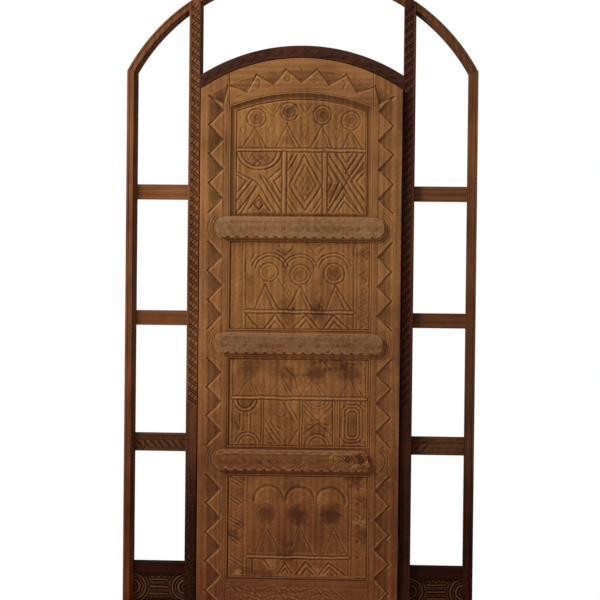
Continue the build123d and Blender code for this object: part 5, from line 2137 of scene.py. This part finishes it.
@dataclass
class BentBar:
    """Straight bar that is bent along an arch, with its ends cut to the joints."""

    node: str
    finish: WoodFinish
    inner: Arc
    outer: Arc
    start: float
    end_inner: float
    end_outer: float
    section: Sequence[Point]
    stations: int = 48

    def build(self) -> None:
        """Bend the bar and dress it."""
        tree = GeometryTree("bend_along_arch")
        centre, start = tree.size("Centre Height", self.outer.centre), tree.size("Start", self.start)
        near, far = tree.size("End Inner", self.end_inner), tree.size("End Outer", self.end_outer)
        low, high = tree.size("Inner Radius", self.inner.radius), tree.size("Outer Radius", self.outer.radius)
        place = tree.add("ShaderNodeSeparateXYZ", Vector=tree.add("GeometryNodeInputPosition").outputs[0])
        along, depth, radius = place.outputs
        share = tree.math("DIVIDE", tree.math("SUBTRACT", radius, low), tree.math("SUBTRACT", high, low))
        end = tree.math("ADD", near, tree.math("MULTIPLY", share, tree.math("SUBTRACT", far, near)))
        x = tree.math("ADD", start, tree.math("MULTIPLY", along, tree.math("SUBTRACT", end, start)))
        square = tree.math("SUBTRACT", tree.math("MULTIPLY", radius, radius), tree.math("MULTIPLY", x, x))
        z = tree.math("ADD", centre, tree.math("SQRT", square))
        bent = tree.add("ShaderNodeCombineXYZ", X=x, Y=depth, Z=z)
        moved = tree.add("GeometryNodeSetPosition", Geometry=tree.source.outputs[0], Position=bent.outputs[0])
        piece = add_object("bent_" + self.node, self.straight())
        tree.run(piece, moved, self.finish)
        dress(piece, self.finish, Body.FRAME, self.node)

    def straight(self) -> bpy.types.Mesh:
        """Bar before bending: its length from 0 to 1 along X, its section in depth and radius.

        Returns:
            The mesh.
        """
        section = self.section[::-1] if self.end_inner < self.start else self.section
        shares = np.linspace(0.0, 1.0, self.stations + 1)
        points = np.array([(share, depth, radius) for share in shares for depth, radius in section])
        index = np.arange(len(points)).reshape(-1, len(section))
        beside = np.roll(index, -1, 1)
        quads = np.stack([index[:-1], index[1:], beside[1:], beside[:-1]], -1).reshape(-1, 4)
        return make_mesh("bent_" + self.node, points, quads, [index[0], index[-1][::-1]], smooth=False)


def eased(points: Sequence[Point], ease: float) -> list[Point]:
    """Cut the corners of a section.

    Args:
        points: Corners in order.
        ease: Length taken off each side of a corner.

    Returns:
        The corners of the eased section.
    """
    result = []
    for before, corner, after in zip([points[-1], *points[:-1]], points, [*points[1:], points[0]]):
        for other in (before, after):
            share = min(ease / math.dist(corner, other), 0.4)
            result.append(between(corner, other, share))
    return result


# Frame

@dataclass
class Sidelight:
    """Jamb, carved rail and carved bottom panel on one side of the leaf."""

    side: Side
    outer: Arc
    cut_pitch: float = 0.038
    cut_margin: float = 0.004
    cut_slope: float = 0.75
    cuts_from: float = 0.945
    worn_cuts: float = 0.14
    plain_strip: float = 0.014
    top_clear: float = 0.042
    foot_clear: float = 0.05
    bolt_travel: float = 0.055
    mortise_spare: float = 0.004
    mortise_clear: float = 0.001
    panel_groove: float = 0.008
    rail_step: float = 0.4
    rail_slant: float = 0.10

    def build(self) -> None:
        """Make the three pieces."""
        self.jamb()
        self.panel()
        self.rail()

    def pick(self, left: Choice, right: Choice) -> Choice:
        """Value that belongs to this side."""
        return left if self.side is Side.LEFT else right

    def jamb(self) -> None:
        """Carve the jamb and cut it out for the bolt or for the hinges."""
        sign, node = self.side.value, "jamb_" + self.side.label
        # The hanging jamb right of the leaf takes the near-black finish of painted shade
        board = CarvedBoard.on(node, Body.FRAME, self.pick(JAMB_FINISH, SHADED_FINISH),
                               high=self.outer.height, seed=60 + sign, rubbed=0, patch=METRES)
        solid = Box.of(node)
        low, high = sorted((abs(solid.low.x), abs(solid.high.x)))
        near, far = low + self.cut_margin, high - self.plain_strip
        top = solid.high.z - self.top_clear - (far - near) * self.cut_slope
        for level in np.arange(self.cuts_from % self.cut_pitch, top, self.cut_pitch):
            if level > solid.low.z + self.foot_clear:
                keep = 1.0 if level > self.cuts_from - self.cut_pitch / 2 else self.worn_cuts
                self.jamb_cut(board.chisel, (near, level), far, keep)
        edge = sign * (far + 0.003)
        board.chisel.stroke([(edge, solid.low.z), (edge, solid.high.z)], 0.005, 0.0022)
        board.build(self.mortise() if self.side is Side.LEFT else HingeHousing().jamb_cutter())

    def jamb_cut(self, chisel: Chisel, start: Point, far: float, keep: float) -> None:
        """Cut one pair of slanting grooves with two short cuts over it.

        Args:
            chisel: Chisel on the jamb.
            start: Foot of the grooves, at the edge of the band beside the leaf.
            far: Edge of the band away from the leaf.
            keep: Share of the depth that wear has left.
        """
        sign, (near, level) = self.side.value, start
        end = (far, level + (far - near) * self.cut_slope)
        for shift in (0.0, 0.0105):
            chisel.stroke([(sign * x, z + shift) for x, z in (start, end)], 0.0092, 0.0050 * keep)
        for share in (0.25, 0.6):
            x, z = between(start, end, share)
            chisel.stroke([(sign * x, z + 0.031), (sign * (x + 0.008), z + 0.020)], 0.006, 0.0034 * keep)

    def mortise(self) -> bpy.types.Object:
        """Space that the bolt slides into.

        Returns:
            The cutter.
        """
        bar, clear = Box.of("bolt_bar"), self.mortise_clear
        end = bar.low.x - self.bolt_travel - self.mortise_spare
        shape = bmesh.new()
        add_block(shape, (end, bar.low.y - clear, bar.low.z - clear),
                  (Box.of("jamb_left").high.x + 0.01, bar.high.y + clear, bar.high.z + clear))
        return solid_object("bolt_mortise", shape)

    def panel(self) -> None:
        """Carve the bottom panel: half rings on both sides with bars between them."""
        name = self.side.label
        solid = Box.of("side_panel_" + name)
        top, foot = Box.of("panel_rail_" + name).low.z, Box.of("foot_rail_" + name).high.z
        groove = self.panel_groove
        patch = Patch(solid.low.x + groove, foot, solid.length(X) - 2 * groove, top - foot)
        # Right of the leaf the panel takes a darker copy, painted shade
        finish = self.pick(FRAME_RAIL_FINISH, SHADE_RAIL_FINISH)
        board = CarvedBoard.on("side_panel_" + name, Body.FRAME, finish, cell=0.0019,
                               seed=70 + self.side.value, ground=0.0030, patch=patch)
        chisel = board.chisel
        for centre, start in (((0.0, 0.5), 0.0), ((1.0, 0.5), 180.0)):
            for radius in (0.27, 0.21, 0.16, 0.09):
                chisel.bow(centre, radius, start, start + 180.0, width=0.008, depth=0.0044)
            for radius in (0.24, 0.125):
                chisel.raise_band(chisel.off_ring(centre, radius), 0.012, 0.0028)
        for up, height in ((0.24, 0.0020), (0.50, 0.0030), (0.76, 0.0016)):
            chisel.bar((0.33, up), (0.67, up), 0.011, height)
        for across in (0.38, 0.50, 0.62):
            peak = ((across - 0.05, 0.84), (across, 0.97), (across + 0.05, 0.84))
            chisel.line(*peak, width=0.007, depth=0.0030)
        board.build()

    def rail(self) -> None:
        """Carve the lowest of the three open rails, which is worn beyond its second cut on the right."""
        name = self.side.label
        jamb, post = Box.of("jamb_" + name), Box.of("outer_post_" + name)
        first, last = self.pick((post, jamb), (jamb, post))
        # Right of the leaf the rail takes a darker copy, painted shade
        finish = self.pick(FRAME_RAIL_FINISH, SHADE_RAIL_FINISH)
        board = CarvedBoard.on("lower_rail_" + name, Body.FRAME, finish, left=first.high.x, right=last.low.x,
                               seed=80 + self.side.value)
        chisel, count, worn = board.chisel, self.pick(7, 6), self.pick(1.0, 0.22)
        lean = self.side.value * self.rail_slant / 2
        for step in range(count):
            middle = 0.05 + step / (count + self.rail_step) + self.rail_slant / 2
            foot, head = middle - lean, middle + lean
            keep = 1.0 if step < 2 else worn
            chisel.line((foot, 0.22), (head, 0.60), width=0.009, depth=0.0038 * keep)
            chisel.line((foot + 0.035, 0.22), (head + 0.035, 0.60), width=0.006, depth=0.0026 * keep)
        for up, depth in ((0.16, 0.0022), (0.66, 0.0030), (0.72, 0.0014)):
            chisel.line((0.0, up), (1.0, up), width=0.006, depth=depth)
        if self.side is Side.LEFT:
            chisel.bow((0.10, 0.40), 0.13, 40.0, 150.0, width=0.009, depth=0.0040)
        board.build()


@dataclass
class ArchedFrame:
    """Big arch in three lengths, the head over the leaf and the stop behind it."""

    sizes: LeafSizes
    arch_width: float = 0.035
    nib: float = 0.028
    rebate: float = 0.025
    line_inset: float = 0.009
    line_width: float = 0.003
    line_depth: float = 0.003
    arch_ease: float = 0.0012
    centre_stations: int = 72
    head_gap: float = 0.004
    head_radius: float = 0.790
    tooth_step: float = 4.0
    tooth_margin: float = 0.009
    tooth_height: float = 0.022
    stop_ease: float = 0.0015
    jamb: Box = field(init=False)
    outer: Arc = field(init=False)
    under_head: Arc = field(init=False)

    def __post_init__(self) -> None:
        """Read the outer line of the big arch and the lower line of the head."""
        post = Box.of("outer_post_right")
        self.jamb = Box.of("jamb_right")
        self.outer = Arc.through(Box.of("arch_centre").high.z, post.high.x, post.high.z)
        self.under_head = self.sizes.crown.grown(self.head_gap)

    def build(self) -> None:
        """Make the arch, the head and the stop."""
        self.arches()
        self.head()
        self.stop()

    def arch_section(self, inner: float, outer: float, back: float) -> list[Point]:
        """Section of the big arch, as depth and radius: rebated inside, with a groove line.

        Args:
            inner: Inner radius.
            outer: Outer radius.
            back: Depth of the piece.

        Returns:
            Corners of the eased section.
        """
        line = outer - self.line_inset
        low, step = line - self.line_width, outer - self.nib
        corners = [(0.0, outer), (0.0, line), (self.line_depth, line), (self.line_depth, low), (0.0, low),
                   (0.0, step), (self.rebate, step), (self.rebate, inner), (back, inner), (back, outer)]
        return eased(corners, self.arch_ease)

    def arches(self) -> None:
        """Bend the three lengths of the big arch."""
        post, jamb, outer = Box.of("outer_post_right"), self.jamb, self.outer
        inner = outer.grown(-self.arch_width)
        section = self.arch_section(inner.radius, outer.radius, Box.of("arch_right").high.y)
        # The right length takes a darker copy of the arch finish, painted shade
        for sign, name, finish in ((1, "right", SHADE_ARCH_FINISH), (-1, "left", ARCH_FINISH)):
            BentBar("arch_" + name, finish, inner, outer, sign * jamb.high.x, sign * post.low.x,
                    sign * post.high.x, section).build()
        BentBar("arch_centre", ARCH_FINISH, inner, outer, -jamb.low.x, jamb.low.x, jamb.low.x, section,
                self.centre_stations).build()

    def head(self) -> None:
        """Carve the arched head over the leaf."""
        reach, radius, step = self.jamb.low.x, self.head_radius, self.tooth_step
        upper = Arc(radius, Box.of("door_head").high.z - radius)
        board = CarvedBoard.on("door_head", Body.FRAME, HEAD_FINISH, left=-reach, right=reach,
                               low=self.under_head.height, high=upper.height, seed=90, patch=METRES)
        base = self.under_head.grown(self.tooth_margin)
        tip = base.grown(self.tooth_height)
        for place in range(-8, 8):
            angle = place * step
            points = [base.polar(angle), tip.polar(angle + step / 2), base.polar(angle + step)]
            board.chisel.lower(points, 0.0022)
            board.chisel.stroke(points, 0.006, 0.0030)
        board.build()

    def stop(self) -> None:
        """Bend the stop over the leaf."""
        solid, outer = Box.of("stop_head"), self.under_head
        low, high = solid.low, solid.high
        inner = Arc(math.hypot(low.x, low.z - outer.centre), outer.centre)
        corners = [(low.y, outer.radius), (low.y, inner.radius), (high.y, inner.radius),
                   (high.y, outer.radius)]
        BentBar("stop_head", HEAD_FINISH, inner, outer, low.x, high.x, high.x,
                eased(corners, self.stop_ease)).build()


@dataclass
class EasedCopy:
    """Plain solid with its sharp edges eased, as a hand plane leaves them."""

    node: str
    body: Body
    finish: Finish
    ease: float = 0.0016
    sharp: float = 35.0
    flush: float = 0.5
    weld: float = 1e-6

    def build(self) -> None:
        """Copy the solid, ease it and dress it."""
        shape = bmesh.new()
        shape.from_mesh(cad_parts[self.node].data)
        bmesh.ops.remove_doubles(shape, verts=shape.verts, dist=self.weld)
        bmesh.ops.dissolve_limit(shape, angle_limit=math.radians(self.flush), verts=shape.verts,
                                 edges=shape.edges)
        piece = solid_object("eased_" + self.node, shape)
        bevel = piece.modifiers.new("ease", "BEVEL")
        bevel.width = self.ease
        bevel.segments = 2
        bevel.limit_method = "ANGLE"
        bevel.angle_limit = math.radians(self.sharp)
        settle(piece)
        piece.data.shade_flat()
        dress(piece, self.finish, self.body, self.node)


@dataclass
class PlainWork:
    """Pieces whose solids only need eased edges."""

    post_ease: float = 0.0010
    sill_ease: float = 0.003
    bolt_ease: float = 0.002

    def build(self) -> None:
        """Ease the plain pieces of the frame, the leaf and the bolt."""
        # The right post and rails take darker copies, painted shade; the stops take the near-black finish of
        # painted shade
        for name, post, level in (("left", POST_FINISH, FRAME_RAIL_FINISH),
                                  ("right", SHADE_POST_FINISH, SHADE_RAIL_FINISH)):
            EasedCopy("outer_post_" + name, Body.FRAME, post, self.post_ease).build()
            EasedCopy("stop_" + name, Body.FRAME, SHADED_FINISH).build()
            for rail in ("upper_rail_", "middle_rail_", "panel_rail_", "foot_rail_"):
                EasedCopy(rail + name, Body.FRAME, level).build()
        EasedCopy("sill", Body.FRAME, FRAME_RAIL_FINISH, self.sill_ease).build()
        for number, finish in ((1, RED_LIT_RAIL_FINISH), (2, RED_LIT_RAIL_FINISH), (3, LOW_RAIL_FINISH)):
            EasedCopy(f"mid_rail_{number}", Body.LEAF, finish).build()
        for node, body in (("bolt_guide_outer", Body.LEAF), ("bolt_guide_inner", Body.LEAF),
                           ("bolt_bar", Body.BOLT), ("bolt_peg", Body.BOLT)):
            EasedCopy(node, body, RAIL_FINISH, self.bolt_ease).build()


@dataclass
class Ironwork:
    """Iron of the hinges, with their slotted screws and those of the battens."""

    sizes: LeafSizes
    screw_shares: tuple[float, float] = (1 / 6, 5 / 6)
    screw_radius: float = 0.004
    quarter: float = math.pi / 2

    def build(self) -> None:
        """Paint the hinges, which keep their solids, and set all the screws."""
        for name in HINGES:
            for kind in ("hinge_frame_flap_", "hinge_leaf_flap_", "hinge_pin_"):
                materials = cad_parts[kind + name].data.materials
                materials.clear()
                materials.append(PAINTS.get(IRON_FINISH))
                log.info("%s keeps its solid", kind + name)
        outer, inner = Box.of("hinge_screws_frame"), Box.of("hinge_screws_leaf")
        for box, body, face, turn in ((outer, Body.FRAME, outer.low.x, self.quarter),
                                      (inner, Body.LEAF, inner.high.x, -self.quarter)):
            points = [(face, box.middle(Y), level) for level in self.hinge_levels()]
            ScrewRow("hinge_screws_" + body.value, body, (0.0, turn, 0.0)).build(points, box.length(X))
        box = Box.of("batten_screws")
        places = [x + math.copysign(self.screw_radius, -x) for x in (box.low.x, box.high.x)]
        points = [(x, box.high.y, level) for level in self.sizes.levels for x in places]
        ScrewRow("batten_screws", Body.LEAF, (self.quarter, 0.0, 0.0)).build(points, box.length(Y))

    def hinge_levels(self) -> list[float]:
        """Heights of the hinge screws."""
        flaps = [Box.of("hinge_frame_flap_" + name) for name in HINGES]
        return [flap.low.z + flap.length(Z) * share for flap in flaps for share in self.screw_shares]


# Studio

@dataclass(frozen=True)
class Lamp:
    """Soft square lamp: where it hangs, the point that it faces, its side and its watts."""

    name: str
    place: tuple[float, float, float]
    target: tuple[float, float, float]
    size: float
    power: float

    def build(self) -> None:
        """Hang the lamp."""
        light = bpy.data.lights.new(self.name, "AREA")
        light.size = self.size
        light.energy = self.power
        lamp = bpy.data.objects.new(self.name, light)
        ahead = Vector(self.target) - Vector(self.place)
        lamp.rotation_euler = ahead.to_track_quat("-Z", "Y").to_euler()
        lamp.location = self.place
        bpy.context.scene.collection.objects.link(lamp)


@dataclass
class Studio:
    """Floor, white backdrop, lamps and camera."""

    eye: tuple[float, float, float] = (0.2518, -6.0, 1.4709)
    yaw: float = 0.0417
    pitch: float = -0.0137
    roll: float = 0.0106
    lens: float = 86.15
    sensor: float = 36.0
    sight: float = 60.0
    floor_half: float = 4.0
    floor_front: float = -5.0
    floor_back: float = 0.35
    soft_light: float = 0.22
    lamps: tuple[Lamp, ...] = (Lamp("key", (-4.4, -3.2, 5.4), (0.0, 0.0, 1.35), 2.2, 640.0),
                               Lamp("fill", (2.6, -4.6, 2.0), (0.0, 0.0, 1.2), 2.6, 25.0))

    def build(self) -> None:
        """Set up the studio."""
        bpy.context.scene.view_settings.view_transform = "Standard"
        self.camera()
        self.floor()
        self.world()
        for lamp in self.lamps:
            lamp.build()

    def camera(self) -> None:
        """Place the camera where the photograph was taken from."""
        camera = bpy.data.cameras.new("camera")
        camera.lens = self.lens
        camera.sensor_width = self.sensor
        camera.clip_end = self.sight
        view = bpy.data.objects.new("camera", camera)
        right = Vector((math.cos(self.yaw), math.sin(self.yaw), 0.0))
        ahead = Vector((-math.sin(self.yaw) * math.cos(self.pitch), math.cos(self.yaw) * math.cos(self.pitch),
                        math.sin(self.pitch)))
        up = right.cross(ahead)
        turned = right * math.cos(self.roll) + up * math.sin(self.roll)
        upright = up * math.cos(self.roll) - right * math.sin(self.roll)
        matrix = Matrix((turned, upright, -ahead)).transposed().to_4x4()
        matrix.translation = Vector(self.eye)
        view.matrix_world = matrix
        bpy.context.scene.collection.objects.link(view)
        bpy.context.scene.camera = view

    def floor(self) -> None:
        """Lay a plain pale floor that ends a little behind the door."""
        half, front, back = self.floor_half, self.floor_front, self.floor_back
        mesh = bpy.data.meshes.new("floor")
        mesh.from_pydata([(-half, front, 0.0), (half, front, 0.0), (half, back, 0.0), (-half, back, 0.0)], [],
                         [(0, 1, 2, 3)])
        floor = add_object("floor", mesh)
        graph = Graph("pale_floor")
        colour = graph.mix(graph.noise(FLOOR_TONE), (0.80, 0.79, 0.77), (0.86, 0.85, 0.83))
        graph.feed(graph.shader, Base_Color=colour, Roughness=0.8)
        mesh.materials.append(graph.material)

    def world(self) -> None:
        """Soft even light, with a white backdrop for the camera."""
        world = bpy.data.worlds.new("studio")
        bpy.context.scene.world = world
        world.use_nodes = True
        world.node_tree.nodes.clear()
        nodes = NodeBuilder(world.node_tree)
        soft = nodes.add("ShaderNodeBackground", Color=(0.96, 0.98, 1.0, 1.0), Strength=self.soft_light)
        white = nodes.add("ShaderNodeBackground", Color=(1.0, 1.0, 1.0, 1.0), Strength=1.0)
        rays = nodes.add("ShaderNodeLightPath").outputs
        seen = nodes.math("MAXIMUM", rays["Is Camera Ray"], rays["Is Transmission Ray"])
        mix = nodes.add("ShaderNodeMixShader", Fac=seen)
        for place, light in ((1, soft), (2, white)):
            nodes.connect(mix.inputs[place], light.outputs[0])
        nodes.add("ShaderNodeOutputWorld", Surface=mix.outputs[0])


def main() -> None:
    """Build and dress the door, piece by piece."""
    logging.basicConfig(level=logging.INFO, format="%(message)s")
    sizes = LeafSizes()
    panels = [kind(sizes) for kind in (ArchedPanel, RingPanel, CellPanel, FootPanel)]
    for panel in panels:
        panel.build()
    for panel in panels:
        Moulding(panel).build()
    for side in Side:
        Stile(sizes, side=side).build()
    TopRail(sizes).build()
    BottomRail(sizes).build()
    for number in (1, 2, 3):
        Batten(number).build()
    arches = ArchedFrame(sizes)
    for side in Side:
        Sidelight(side, arches.outer).build()
    arches.build()
    PlainWork().build()
    Ironwork(sizes).build()
    Studio().build()


if __name__ == "__main__":
    main()
